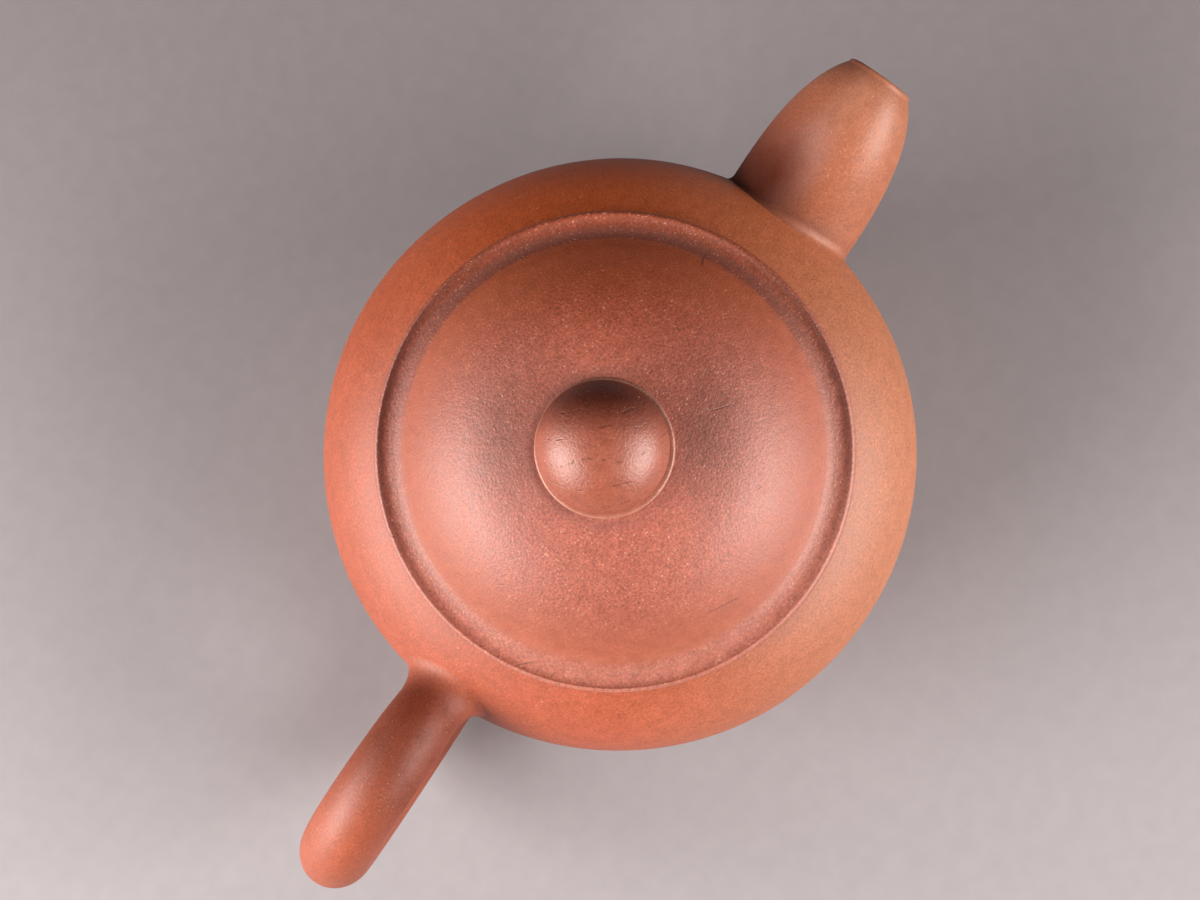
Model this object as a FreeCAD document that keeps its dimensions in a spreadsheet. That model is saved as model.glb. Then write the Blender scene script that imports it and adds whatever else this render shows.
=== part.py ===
import FreeCAD, Part
import math
import os
import Sketcher

# A small round red clay teapot, in millimetres.
# The origin is on the pot's axis at the foot; +X points to the spout and +Z up.

doc = FreeCAD.newDocument("clay_teapot")
sheet = doc.addObject("Spreadsheet::Sheet", "Sizes")
sizes = {}


class Size:
    """A number together with the formula that ties it to the sheet of driving sizes."""

    def __init__(self, value, text=None):
        self.value = float(value)
        self.text = text or repr(self.value)

    def __add__(self, other):
        other = as_size(other)
        return Size(self.value + other.value, f"({self.text} + {other.text})")

    def __sub__(self, other):
        other = as_size(other)
        return Size(self.value - other.value, f"({self.text} - {other.text})")

    def __mul__(self, other):
        other = as_size(other)
        return Size(self.value * other.value, f"({self.text} * {other.text})")

    def __truediv__(self, other):
        other = as_size(other)
        return Size(self.value / other.value, f"({self.text} / {other.text})")

    def __neg__(self):
        return Size(-self.value, f"(-1 * {self.text})")

    __radd__ = __add__
    __rmul__ = __mul__

    def __rsub__(self, other):
        return as_size(other) - self


def as_size(number):
    return number if isinstance(number, Size) else Size(number)


def square_root(size):
    return Size(math.sqrt(size.value), f"sqrt({size.text})")


def cosine(angle):
    return Size(math.cos(math.radians(angle.value)), f"cos({angle.text})")


def sine(angle):
    return Size(math.sin(math.radians(angle.value)), f"sin({angle.text})")


def set_size(name, value):
    row = len(sizes) + 1
    sheet.set(f"A{row}", name)
    sheet.set(f"B{row}", str(value))
    sheet.setAlias(f"B{row}", name)
    sizes[name] = Size(value, f"Sizes.{name}")
    return sizes[name]


# Driving sizes: the pot
wall = set_size("wall", 3.0)
belly_radius = set_size("belly_radius", 40.0)
belly_level = set_size("belly_level", 23.0)
shoulder_level = set_size("shoulder_level", 40.0)
shoulder_depth = set_size("shoulder_depth", 5.0)
foot_radius = set_size("foot_radius", 24.0)
foot_height = set_size("foot_height", 2.5)
foot_width = set_size("foot_width", 3.6)
foot_round = set_size("foot_round", 0.8)
mouth_radius = set_size("mouth_radius", 23.0)
lip_width = set_size("lip_width", 4.0)
lip_height = set_size("lip_height", 1.2)
lip_round = set_size("lip_round", 0.5)
lip_ledge = set_size("lip_ledge", 0.3)

# Driving sizes: the lid
lid_overhang = set_size("lid_overhang", 1.75)
flange_height = set_size("flange_height", 2.2)
flange_round = set_size("flange_round", 0.9)
flange_tread = set_size("flange_tread", 2.45)
flange_dish = set_size("flange_dish", 0.25)
dome_rise = set_size("dome_rise", 9.4)
dome_wall = set_size("dome_wall", 2.8)
dome_crown_radius = set_size("dome_crown_radius", 52.0)
dome_crown_reach = set_size("dome_crown_reach", 13.4)
bezel_clearance = set_size("bezel_clearance", 0.4)
bezel_wall = set_size("bezel_wall", 2.4)
bezel_depth = set_size("bezel_depth", 8.0)
bezel_round = set_size("bezel_round", 0.7)
bead_radius = set_size("bead_radius", 7.2)
bead_side_radius = set_size("bead_side_radius", 5.2)
bead_crown_radius = set_size("bead_crown_radius", 8.2)
bead_neck_radius = set_size("bead_neck_radius", 4.6)
bead_neck_height = set_size("bead_neck_height", 0.6)
bead_foot_radius = set_size("bead_foot_radius", 5.2)
bead_collar_radius = set_size("bead_collar_radius", 7.9)
bead_collar_height = set_size("bead_collar_height", 0.45)
bead_collar_round = set_size("bead_collar_round", 0.2)
vent_radius = set_size("vent_radius", 0.8)
vent_gap = set_size("vent_gap", 0.2)

# Driving sizes: the spout and its strainer
spout_reach = set_size("spout_reach", 17.6)
spout_sink = set_size("spout_sink", 2.8)
spout_root_level = set_size("spout_root_level", 23.8)
spout_tip_level = set_size("spout_tip_level", 36.0)
spout_root_radius = set_size("spout_root_radius", 9.35)
spout_tip_radius = set_size("spout_tip_radius", 4.5)
spout_wall = set_size("spout_wall", 1.9)
spout_root_lean = set_size("spout_root_lean", 4.0)
spout_tip_lean = set_size("spout_tip_lean", 16.0)
spout_mid_lean = set_size("spout_mid_lean", 20.0)
spout_hole_radius = set_size("spout_hole_radius", 6.2)
strainer_radius = set_size("strainer_radius", 8.6)
strainer_wall = set_size("strainer_wall", 1.6)
strainer_hole_radius = set_size("strainer_hole_radius", 1.1)

# Driving sizes: the handle
handle_reach = set_size("handle_reach", 30.1)
handle_radius = set_size("handle_radius", 4.4)
handle_swell = set_size("handle_swell", 0.45)
handle_loop_radius = set_size("handle_loop_radius", 14.7)
handle_level = set_size("handle_level", 22.2)
handle_root_angle = set_size("handle_root_angle", 40.0)
handle_root_flare = set_size("handle_root_flare", 1.1)
handle_root_sink = set_size("handle_root_sink", 2.0)
handle_root_lean = set_size("handle_root_lean", 26.0)

# Shape of the spout: how late along its run it narrows, and how much its line sags and then levels
SPOUT_FULLNESS = 3.0
SPOUT_BOW = 0.45
# Sections of the spout along its run, and inside the pot before it
SPOUT_SECTIONS = 9
SPOUT_SUNK_SECTIONS = 3
# Sections along the handle's loop between the two roots
HANDLE_SECTIONS = 13
# Rings of holes in the strainer: how many in each, and the ring's angle from the axis in degrees
STRAINER_RING_COUNTS = (1, 6, 10)
STRAINER_RING_ANGLES = (0, 27, 54)

# The pot's side is two arcs, both upright at the belly
neck_radius = mouth_radius + lip_width + lip_ledge
foot_inset = belly_radius - foot_radius
foot_drop = belly_level - foot_height
lower_arc = (foot_inset * foot_inset + foot_drop * foot_drop) / (2 * foot_inset)
neck_inset = belly_radius - neck_radius
neck_rise = shoulder_level - belly_level
upper_arc = (neck_inset * neck_inset + neck_rise * neck_rise) / (2 * neck_inset)
seam_sine = (shoulder_level - shoulder_depth - belly_level) / upper_arc
seam_cosine = square_root(1 - seam_sine * seam_sine)


def lower_point(arc):
    """Point of the lower arc, or of one inside it, at the edge of the base."""
    share = arc / lower_arc
    radius = belly_radius - lower_arc + share * (foot_radius - belly_radius + lower_arc)
    return radius, belly_level + share * (foot_height - belly_level)


def seam_point(arc):
    """Point of the upper arc, or of one inside it, at the seam of wall and shoulder."""
    return belly_radius - upper_arc + arc * seam_cosine, belly_level + arc * seam_sine


def neck_point(arc):
    """Point of the upper arc, or of one inside it, at the neck."""
    share = arc / upper_arc
    radius = belly_radius - upper_arc + share * (neck_radius - belly_radius + upper_arc)
    return radius, belly_level + share * (shoulder_level - belly_level)


lip_level = shoulder_level + lip_height
base_top = lower_point(lower_arc - wall)[1]

# The lid's dome has a flat crown and a rounder edge, one arc running smoothly into the other
lid_radius = mouth_radius + lip_width + lid_overhang
flange_level = lip_level + flange_height
dome_radius = lid_radius - flange_round - flange_tread
dome_top = flange_level + dome_rise
crown_center = dome_top - dome_crown_radius
crown_sine = dome_crown_reach / dome_crown_radius
crown_cosine = square_root(1 - crown_sine * crown_sine)
edge_width = dome_radius - dome_crown_reach
edge_drop = dome_rise - dome_crown_radius * (1 - crown_cosine)
edge_bend = ((edge_width * edge_width + edge_drop * edge_drop)
             / (2 * (edge_drop * crown_cosine - edge_width * crown_sine)))
edge_center_x = dome_crown_reach - edge_bend * crown_sine
edge_center_z = flange_level + edge_drop - edge_bend * crown_cosine
bezel_outer = mouth_radius - bezel_clearance
bezel_inner = bezel_outer - bezel_wall

spout_root_x = belly_radius - spout_sink
spout_run = spout_reach + spout_sink
handle_center_x = -(belly_radius + handle_reach - handle_radius - handle_swell - handle_loop_radius)


def line_to(radius, level):
    return as_size(radius), as_size(level), None, 0


def arc_to(radius, level, bend, turn):
    """Arc of radius bend to this corner; turn is 1 anticlockwise and -1 clockwise."""
    return as_size(radius), as_size(level), bend, turn


def arc_between(start, end, bend, turn):
    chord = end - start
    middle = (start + end) * 0.5
    left = FreeCAD.Vector(-chord.y, chord.x, 0).normalize()
    height = math.sqrt(max(bend ** 2 - (chord.Length / 2) ** 2, 0))
    center = middle + left * (turn * height)
    first, last = (start, end) if turn > 0 else (end, start)
    angles = [math.atan2(point.y - center.y, point.x - center.x) for point in (first, last)]
    return Part.ArcOfCircle(Part.Circle(center, FreeCAD.Vector(0, 0, 1), bend), *angles)


def origin_plane(body, role):
    return [feature for feature in body.Origin.OriginFeatures if feature.Role == role][0]


def pin_corner(sketch, edge, end, radius, level):
    """Hold one end of an edge at its radius and level."""
    for kind, axis, size in (("DistanceX", -2, radius), ("DistanceY", -1, level)):
        if size.value == 0:
            sketch.addConstraint(Sketcher.Constraint("PointOnObject", edge, end, axis))
            continue
        index = sketch.addConstraint(Sketcher.Constraint(kind, -1, 1, edge, end, size.value))
        sketch.setExpression(f"Constraints[{index}]", size.text)


def add_profile(body, corners):
    """Closed outline of radius and level; each corner says how it is reached from the one before."""
    sketch = body.newObject("Sketcher::SketchObject", f"{body.Name}_profile")
    sketch.AttachmentSupport = (origin_plane(body, "XZ_Plane"), [""])
    sketch.MapMode = "FlatFace"
    points = [FreeCAD.Vector(radius.value, level.value, 0) for radius, level, bend, turn in corners]
    ends = []
    for edge, (radius, level, bend, turn) in enumerate(corners):
        if bend is None:
            sketch.addGeometry(Part.LineSegment(points[edge - 1], points[edge]))
        else:
            sketch.addGeometry(arc_between(points[edge - 1], points[edge], bend.value, turn))
        ends.append((2, 1) if turn < 0 else (1, 2))
    for edge, (radius, level, bend, turn) in enumerate(corners):
        sketch.addConstraint(Sketcher.Constraint("Coincident", edge - 1 if edge else len(corners) - 1,
                                                 ends[edge - 1][1], edge, ends[edge][0]))
    for edge, (radius, level, bend, turn) in enumerate(corners):
        pin_corner(sketch, edge, ends[edge][1], radius, level)
        if bend is not None:
            index = sketch.addConstraint(Sketcher.Constraint("Radius", edge, bend.value))
            sketch.setExpression(f"Constraints[{index}]", bend.text)
    return sketch


def add_turned(name, corners):
    """A piece turned about the pot's axis from its outline."""
    body = doc.addObject("PartDesign::Body", name)
    sketch = add_profile(body, corners)
    turned = body.newObject("PartDesign::Revolution", f"{name}_turned")
    turned.Profile = sketch
    turned.ReferenceAxis = (sketch, ["V_Axis"])
    turned.Angle = 360
    return body


def tie(piece, **properties):
    """Bind properties of a piece to their sizes."""
    for name, size in properties.items():
        size = as_size(size)
        setattr(piece, name, size.value)
        piece.setExpression(name, size.text)


def put(piece, x=0, y=0, z=0, turn=None, lean=None):
    """Place a piece; lean turns it about Y by an angle that a size drives."""
    x, y, z = as_size(x), as_size(y), as_size(z)
    rotation = turn or FreeCAD.Rotation()
    if lean is not None:
        side = 1 if lean.value >= 0 else -1
        lean = side * lean
        rotation = FreeCAD.Rotation(FreeCAD.Vector(0, side, 0), lean.value)
    piece.Placement = FreeCAD.Placement(FreeCAD.Vector(x.value, y.value, z.value), rotation)
    for axis, size in (("x", x), ("y", y), ("z", z)):
        piece.setExpression(f"Placement.Base.{axis}", size.text)
    if lean is not None:
        piece.setExpression("Placement.Rotation.Angle", lean.text)


def combine(kind, name, base, tool):
    result = doc.addObject(kind, name)
    result.Base = base
    result.Tool = tool
    return result


def make_envelope():
    """Everything inside the pot's outer face, to trim what is joined on from outside."""
    return add_turned("pot_envelope", [
        line_to(0, foot_height),
        line_to(*lower_point(lower_arc)),
        arc_to(belly_radius, belly_level, lower_arc, 1),
        arc_to(neck_radius, shoulder_level, upper_arc, 1),
        line_to(0, shoulder_level),
    ])


def make_cavity():
    """Everything inside the pot's inner face, to trim what is joined on from inside."""
    neck = neck_point(upper_arc - wall)
    return add_turned("pot_cavity", [
        line_to(0, base_top),
        line_to(*lower_point(lower_arc - wall)),
        arc_to(belly_radius - wall, belly_level, lower_arc - wall, 1),
        arc_to(*neck, upper_arc - wall, 1),
        line_to(0, neck[1]),
    ])


def make_belly_wall():
    shell = add_turned("belly_shell", [
        line_to(*lower_point(lower_arc)),
        arc_to(belly_radius, belly_level, lower_arc, 1),
        arc_to(*seam_point(upper_arc), upper_arc, 1),
        line_to(*seam_point(upper_arc - wall)),
        arc_to(belly_radius - wall, belly_level, upper_arc - wall, -1),
        arc_to(*lower_point(lower_arc - wall), lower_arc - wall, -1),
    ])
    hole = doc.addObject("Part::Cylinder", "spout_hole")
    tie(hole, Radius=spout_hole_radius, Height=belly_radius)
    put(hole, z=spout_root_level, turn=FreeCAD.Rotation(FreeCAD.Vector(0, 1, 0), 90))
    return combine("Part::Cut", "belly_wall", shell, hole)


def make_shoulder_ring():
    inner_neck = neck_point(upper_arc - wall)
    return add_turned("shoulder_ring", [
        line_to(*seam_point(upper_arc)),
        arc_to(neck_radius, shoulder_level, upper_arc, 1),
        line_to(mouth_radius, shoulder_level),
        line_to(mouth_radius, inner_neck[1]),
        line_to(*inner_neck),
        arc_to(*seam_point(upper_arc - wall), upper_arc - wall, -1),
    ])


def make_base_disc():
    return add_turned("base_disc", [
        line_to(0, foot_height),
        line_to(*lower_point(lower_arc)),
        line_to(*lower_point(lower_arc - wall)),
        line_to(0, base_top),
    ])


def make_foot_ring():
    inner = foot_radius - foot_width
    return add_turned("foot_ring", [
        line_to(inner, foot_height),
        line_to(inner, foot_round),
        arc_to(inner + foot_round, 0, foot_round, 1),
        line_to(foot_radius - foot_round, 0),
        arc_to(foot_radius, foot_round, foot_round, 1),
        line_to(foot_radius, foot_height),
    ])


def make_mouth_ring():
    outer = mouth_radius + lip_width
    return add_turned("mouth_ring", [
        line_to(mouth_radius, shoulder_level),
        line_to(outer, shoulder_level),
        line_to(outer, lip_level - lip_round),
        arc_to(outer - lip_round, lip_level, lip_round, 1),
        line_to(mouth_radius + lip_round, lip_level),
        arc_to(mouth_radius, lip_level - lip_round, lip_round, 1),
    ])


def make_lid_flange():
    tread_bend = (flange_tread * flange_tread / 4 + flange_dish * flange_dish) / (2 * flange_dish)
    return add_turned("lid_flange", [
        line_to(bezel_inner, lip_level),
        line_to(lid_radius - flange_round, lip_level),
        arc_to(lid_radius, lip_level + flange_round, flange_round, 1),
        line_to(lid_radius, flange_level - flange_round),
        arc_to(lid_radius - flange_round, flange_level, flange_round, 1),
        arc_to(dome_radius, flange_level, tread_bend, -1),
        line_to(bezel_inner, flange_level),
    ])


def crown_level(radius, height):
    """Level at a radius of a face that lies a height over the dome's crown."""
    reach = dome_crown_radius + height
    return crown_center + square_root(reach * reach - radius * radius)


def make_lid_dome(vent):
    inner_bend = edge_bend - dome_wall
    drop = flange_level - edge_center_z
    inner_radius = edge_center_x + square_root(inner_bend * inner_bend - drop * drop)
    crown_edge = flange_level + edge_drop
    dome = add_turned("lid_dome_slab", [
        arc_to(inner_radius, flange_level, inner_bend, -1),
        line_to(dome_radius, flange_level),
        arc_to(dome_crown_reach, crown_edge, edge_bend, 1),
        arc_to(0, dome_top, dome_crown_radius, 1),
        line_to(0, dome_top - dome_wall),
        arc_to(dome_crown_reach - dome_wall * crown_sine, crown_edge - dome_wall * crown_cosine,
               dome_crown_radius - dome_wall, -1),
    ])
    return combine("Part::Cut", "lid_dome", dome, vent)


def make_vent(name):
    """Steam hole beside the knob's neck, out of sight under the bead."""
    vent = doc.addObject("Part::Cylinder", name)
    tie(vent, Radius=vent_radius, Height=dome_rise + bead_collar_height)
    put(vent, x=-(bead_foot_radius + vent_gap + vent_radius), z=flange_level)
    return vent


def make_lid_bezel():
    bottom = lip_level - bezel_depth
    return add_turned("lid_bezel", [
        line_to(bezel_inner, lip_level),
        line_to(bezel_inner, bottom + bezel_round),
        arc_to(bezel_inner + bezel_round, bottom, bezel_round, 1),
        line_to(bezel_outer - bezel_round, bottom),
        arc_to(bezel_outer, bottom + bezel_round, bezel_round, 1),
        line_to(bezel_outer, lip_level),
    ])


def make_knob(vent):
    """A bead with a low crown, on a short neck that spreads onto a thin collar."""
    side_x = bead_radius - bead_side_radius
    under_drop = square_root(bead_side_radius * bead_side_radius
                             - (bead_neck_radius - side_x) * (bead_neck_radius - side_x))
    collar_foot = crown_level(bead_collar_radius, 0)
    foot_level = crown_level(bead_foot_radius, bead_collar_height)
    neck_top = foot_level + bead_neck_height
    side_level = neck_top + under_drop
    reach = bead_crown_radius - bead_side_radius
    crown_drop = square_root(reach * reach - side_x * side_x)
    bead_center = side_level - crown_drop
    join_radius = bead_crown_radius * side_x / reach
    join_level = bead_center + bead_crown_radius * crown_drop / reach
    flare = bead_foot_radius - bead_neck_radius
    flare_bend = (flare * flare + bead_neck_height * bead_neck_height) / (2 * flare)
    bead = add_turned("knob_bead", [
        line_to(0, dome_top),
        arc_to(bead_collar_radius, collar_foot, dome_crown_radius, -1),
        line_to(bead_collar_radius, collar_foot + bead_collar_height - bead_collar_round),
        arc_to(bead_collar_radius - bead_collar_round, collar_foot + bead_collar_height,
               bead_collar_round, 1),
        line_to(bead_foot_radius, foot_level),
        arc_to(bead_neck_radius, neck_top, flare_bend, -1),
        arc_to(bead_radius, side_level, bead_side_radius, 1),
        arc_to(join_radius, join_level, bead_side_radius, 1),
        arc_to(0, bead_center + bead_crown_radius, bead_crown_radius, 1),
    ])
    return combine("Part::Cut", "knob", bead, vent)


def spout_section(name, share, inset):
    """Circle across the spout at a share of its run, inset from the outer face; level past both ends."""
    out = min(max(share, 0), 1)
    climb = out - SPOUT_BOW * math.sin(2 * math.pi * out) / (2 * math.pi)
    lean = (spout_root_lean + (spout_tip_lean - spout_root_lean) * out
            + spout_mid_lean * math.sin(math.pi * out))
    radius = spout_root_radius + (spout_tip_radius - spout_root_radius) * out ** SPOUT_FULLNESS
    circle = doc.addObject("Part::Circle", name)
    tie(circle, Radius=radius - inset)
    put(circle, x=spout_root_x + spout_run * share,
        z=spout_root_level + (spout_tip_level - spout_root_level) * climb, lean=90 - lean)
    return circle


def add_loft(name, sections):
    loft = doc.addObject("Part::Loft", name)
    loft.Sections = sections
    loft.Solid = True
    return loft


def make_spout(envelope):
    """A thick spout that narrows late, with its bore, trimmed to the pot's side."""
    shapes = []
    for name, inset, extra in (("spout_outer", as_size(0), 0), ("spout_bore", spout_wall, 1)):
        sections = []
        for index in range(-SPOUT_SUNK_SECTIONS - extra, SPOUT_SECTIONS + extra + 1):
            sections.append(spout_section(f"{name}_{len(sections)}", index / SPOUT_SECTIONS, inset))
        shapes.append(add_loft(name, sections))
    tube = combine("Part::Cut", "spout_tube", *shapes)
    return combine("Part::Cut", "spout", tube, envelope)


def make_strainer(cavity):
    """A pierced dome seated on the inner wall over the spout hole."""
    center_x = belly_radius - wall
    room_radius = strainer_radius - strainer_wall
    balls = []
    for name, radius in (("strainer_ball", strainer_radius), ("strainer_room", room_radius)):
        ball = doc.addObject("Part::Sphere", name)
        tie(ball, Radius=radius)
        put(ball, x=center_x, z=spout_root_level)
        balls.append(ball)
    shell = combine("Part::Cut", "strainer_shell", *balls)
    dome = combine("Part::Common", "strainer_dome", shell, cavity)
    start = strainer_radius - 2 * strainer_wall
    holes = []
    for count, angle in zip(STRAINER_RING_COUNTS, STRAINER_RING_ANGLES):
        for index in range(count):
            turn = FreeCAD.Rotation(FreeCAD.Vector(1, 0, 0), 360 / count * index)
            turn = turn * FreeCAD.Rotation(FreeCAD.Vector(0, 1, 0), angle - 90)
            way = turn.multVec(FreeCAD.Vector(0, 0, 1))
            hole = doc.addObject("Part::Cylinder", f"strainer_hole_{angle}_{index}")
            tie(hole, Radius=strainer_hole_radius, Height=3 * strainer_wall)
            put(hole, x=center_x + start * way.x, y=start * way.y,
                z=spout_root_level + start * way.z, turn=turn)
            holes.append(hole)
    drill = doc.addObject("Part::Compound", "strainer_drill")
    drill.Links = holes
    return combine("Part::Cut", "strainer", dome, drill)


def handle_section(name, angle, radius):
    """Circle across the handle at an angle round its loop."""
    circle = doc.addObject("Part::Circle", name)
    tie(circle, Radius=radius)
    put(circle, x=handle_center_x + handle_loop_radius * cosine(angle),
        z=handle_level + handle_loop_radius * sine(angle), lean=180 - angle)
    return circle


def handle_root(name, side, arc):
    """Wide circle sunk just under one arc of the pot, above the belly for side 1 and below it for -1."""
    circle = doc.addObject("Part::Circle", name)
    tie(circle, Radius=handle_radius + 2 * handle_root_flare)
    sunk = arc - handle_root_sink
    put(circle, x=arc - belly_radius - sunk * cosine(handle_root_lean),
        z=belly_level + side * sunk * sine(handle_root_lean), lean=side * (90 + handle_root_lean))
    return circle


def make_handle(envelope):
    """A round ear from the shoulder to below the belly, spread where it is joined on."""
    ends = (0, HANDLE_SECTIONS - 1)
    sections = [handle_root("handle_upper_root", 1, upper_arc)]
    for index in range(HANDLE_SECTIONS):
        share = index / (HANDLE_SECTIONS - 1)
        angle = handle_root_angle + (360 - 2 * handle_root_angle) * share
        spread = handle_root_flare if index in ends else handle_swell * math.sin(math.pi * share)
        sections.append(handle_section(f"handle_{index}", angle, handle_radius + spread))
    sections.append(handle_root("handle_lower_root", -1, lower_arc))
    loop = add_loft("handle_loop", sections)
    return combine("Part::Cut", "handle", loop, envelope)


def check_pieces(pieces):
    doc.recompute()
    for item in doc.Objects:
        if "Invalid" in item.State or "Error" in item.State:
            raise RuntimeError(f"{item.Name} failed: {item.State}")
    for piece in pieces:
        if piece.Shape.isNull() or not piece.Shape.isValid() or len(piece.Shape.Solids) != 1:
            raise RuntimeError(f"{piece.Label} is not one valid solid")
        box = piece.Shape.BoundBox
        print(f"{piece.Label}: {piece.Shape.Volume:.0f} mm3, z {box.ZMin:.2f} to {box.ZMax:.2f}")


envelope = make_envelope()
cavity = make_cavity()
pieces = [
    make_belly_wall(),
    make_shoulder_ring(),
    make_base_disc(),
    make_foot_ring(),
    make_mouth_ring(),
    make_spout(envelope),
    make_strainer(cavity),
    make_handle(envelope),
    make_lid_flange(),
    make_lid_dome(make_vent("dome_vent")),
    make_lid_bezel(),
    make_knob(make_vent("collar_vent")),
]
check_pieces(pieces)
os.makedirs("parts", exist_ok=True)
for piece in pieces:
    piece.Shape.exportStep(f"parts/{piece.Label}.step")
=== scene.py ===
# %% [markdown]
# # A burnished red clay teapot
#
# The pot is built up by hand from slabs and coils of red stoneware clay, burnished while it is leather hard
# and fired without glaze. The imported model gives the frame: every node, its place and its body. This
# script builds smooth skins over that frame, gives them their clay, and lights them from two low windows as
# in the photograph. The solids could be shown as they are, but skins can be a little uneven and worn.

import math
from types import SimpleNamespace

import bpy
import numpy as np
from mathutils import Matrix, Vector


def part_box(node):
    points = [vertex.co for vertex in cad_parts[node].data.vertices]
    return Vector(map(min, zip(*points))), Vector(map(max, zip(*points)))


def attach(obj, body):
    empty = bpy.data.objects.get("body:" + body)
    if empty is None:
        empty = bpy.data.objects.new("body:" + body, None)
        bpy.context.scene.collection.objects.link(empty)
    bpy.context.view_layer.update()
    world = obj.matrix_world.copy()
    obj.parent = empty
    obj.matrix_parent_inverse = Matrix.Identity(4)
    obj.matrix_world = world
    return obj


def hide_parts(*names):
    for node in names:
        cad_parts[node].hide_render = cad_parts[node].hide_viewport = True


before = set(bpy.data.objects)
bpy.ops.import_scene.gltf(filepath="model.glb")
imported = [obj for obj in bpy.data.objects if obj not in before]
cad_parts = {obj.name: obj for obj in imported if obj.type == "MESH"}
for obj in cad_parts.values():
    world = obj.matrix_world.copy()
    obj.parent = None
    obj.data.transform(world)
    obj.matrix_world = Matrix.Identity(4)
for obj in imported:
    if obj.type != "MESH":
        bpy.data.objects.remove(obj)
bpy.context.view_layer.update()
MM = 0.001
print("nodes:", ", ".join(sorted(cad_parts)))


# %% [markdown]
# ## Measures
#
# The shapes below are worked out in millimetres, because that is how a potter would name them. Levels
# and radii that a node's box can give are read from the frame, so the skins follow the solids. Only the
# sizes that a box doesn't show, such as the level of the belly, are written here.

# %% Read the pot's radii and levels from the frame
def node_box(name):
    """Lowest and highest corner of a node, in millimetres."""
    return [np.array(corner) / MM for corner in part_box(name)]


def belly_arc(radius, level):
    """Radius of the arc that is upright at the belly and ends at a point: (dr^2 + dz^2) / (2 dr)."""
    inward, upward = BELLY_R - radius, level - BELLY_Z
    return (inward ** 2 + upward ** 2) / (2 * inward)


BELLY_R = node_box("belly_wall")[1][1]
BELLY_Z = 23.0
WALL = 3.0
FOOT_R, FOOT_Z = node_box("foot_ring")[1][0], node_box("foot_ring")[1][2]
LIP_R = node_box("mouth_ring")[1][0]
SHOULDER_Z, LIP_Z = node_box("mouth_ring")[0][2], node_box("mouth_ring")[1][2]
MOUTH_R, NECK_STEP = 23.0, 0.3
NECK_R = LIP_R + NECK_STEP
LOWER_ARC = belly_arc(FOOT_R, FOOT_Z)
UPPER_ARC = belly_arc(NECK_R, SHOULDER_Z)
print(f"belly {BELLY_R:.2f}, foot {FOOT_R:.2f}, lip {LIP_R:.2f} at {LIP_Z:.2f}")
print(f"arcs below and above the belly {LOWER_ARC:.2f}, {UPPER_ARC:.2f}")


# %% [markdown]
# ## Outlines and skins
#
# Most of the pot is round, so most pieces are an outline turned about the upright axis. An outline is a
# chain of arcs; the straight runs between them are filled with points, so that the mesh is even. A grid of
# points, outline by turn, then becomes a closed skin. A Screw modifier could do the same, but a grid
# also takes the spout and the handle, and lets each vertex carry marks such as wear.

# %% Arcs and outlines
SAME_SPOT = 1e-3


def arc(center, radius, start, end, step=0.6):
    """Points on a circle: centre + radius * (cos a, sin a), with a from start to end in degrees."""
    count = max(4, math.ceil(abs(math.radians(end - start)) * radius / step) + 1)
    angle = np.radians(np.linspace(start, end, count))
    return np.array(center) + radius * np.column_stack((np.cos(angle), np.sin(angle)))


def rounded(start, corner, end, t):
    """Curve that rounds a corner: (1-t)^2 start + 2t(1-t) corner + t^2 end, with t from 0 to 1."""
    return (1 - t) ** 2 * start + 2 * t * (1 - t) * corner + t ** 2 * end


def spot(radius, level):
    """One corner of an outline."""
    return np.array([[radius, level]])


def outline(*runs, ring=False, step=0.8):
    """Chain of runs of points; the straight gaps between them are filled with points a step apart or so."""
    chain = [runs[0]]
    for run in [*runs[1:], *([runs[0][:1]] if ring else [])]:
        first, last = chain[-1][-1], run[0]
        count = int(np.hypot(*(last - first)) / step)
        chain.append(first + (last - first) * np.linspace(0, 1, count + 2)[1:-1, None])
        chain.append(run)
    points = np.vstack(chain)
    apart = np.hypot(*np.diff(points, axis=0).T) > SAME_SPOT
    return points[np.concatenate(([True], apart))][: -1 if ring else None]


def turned(points, columns=360):
    """Surface of revolution: outline point (r, z) at turn t is (r cos t, r sin t, z)."""
    turn = np.linspace(0, 2 * np.pi, columns, endpoint=False)
    radius, level = points.T[:, :, None]
    return np.stack((radius * np.cos(turn), radius * np.sin(turn), level + 0 * turn), axis=2)


# %% From a grid of points to a closed skin
SHARP_EDGE = math.radians(48)


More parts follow.
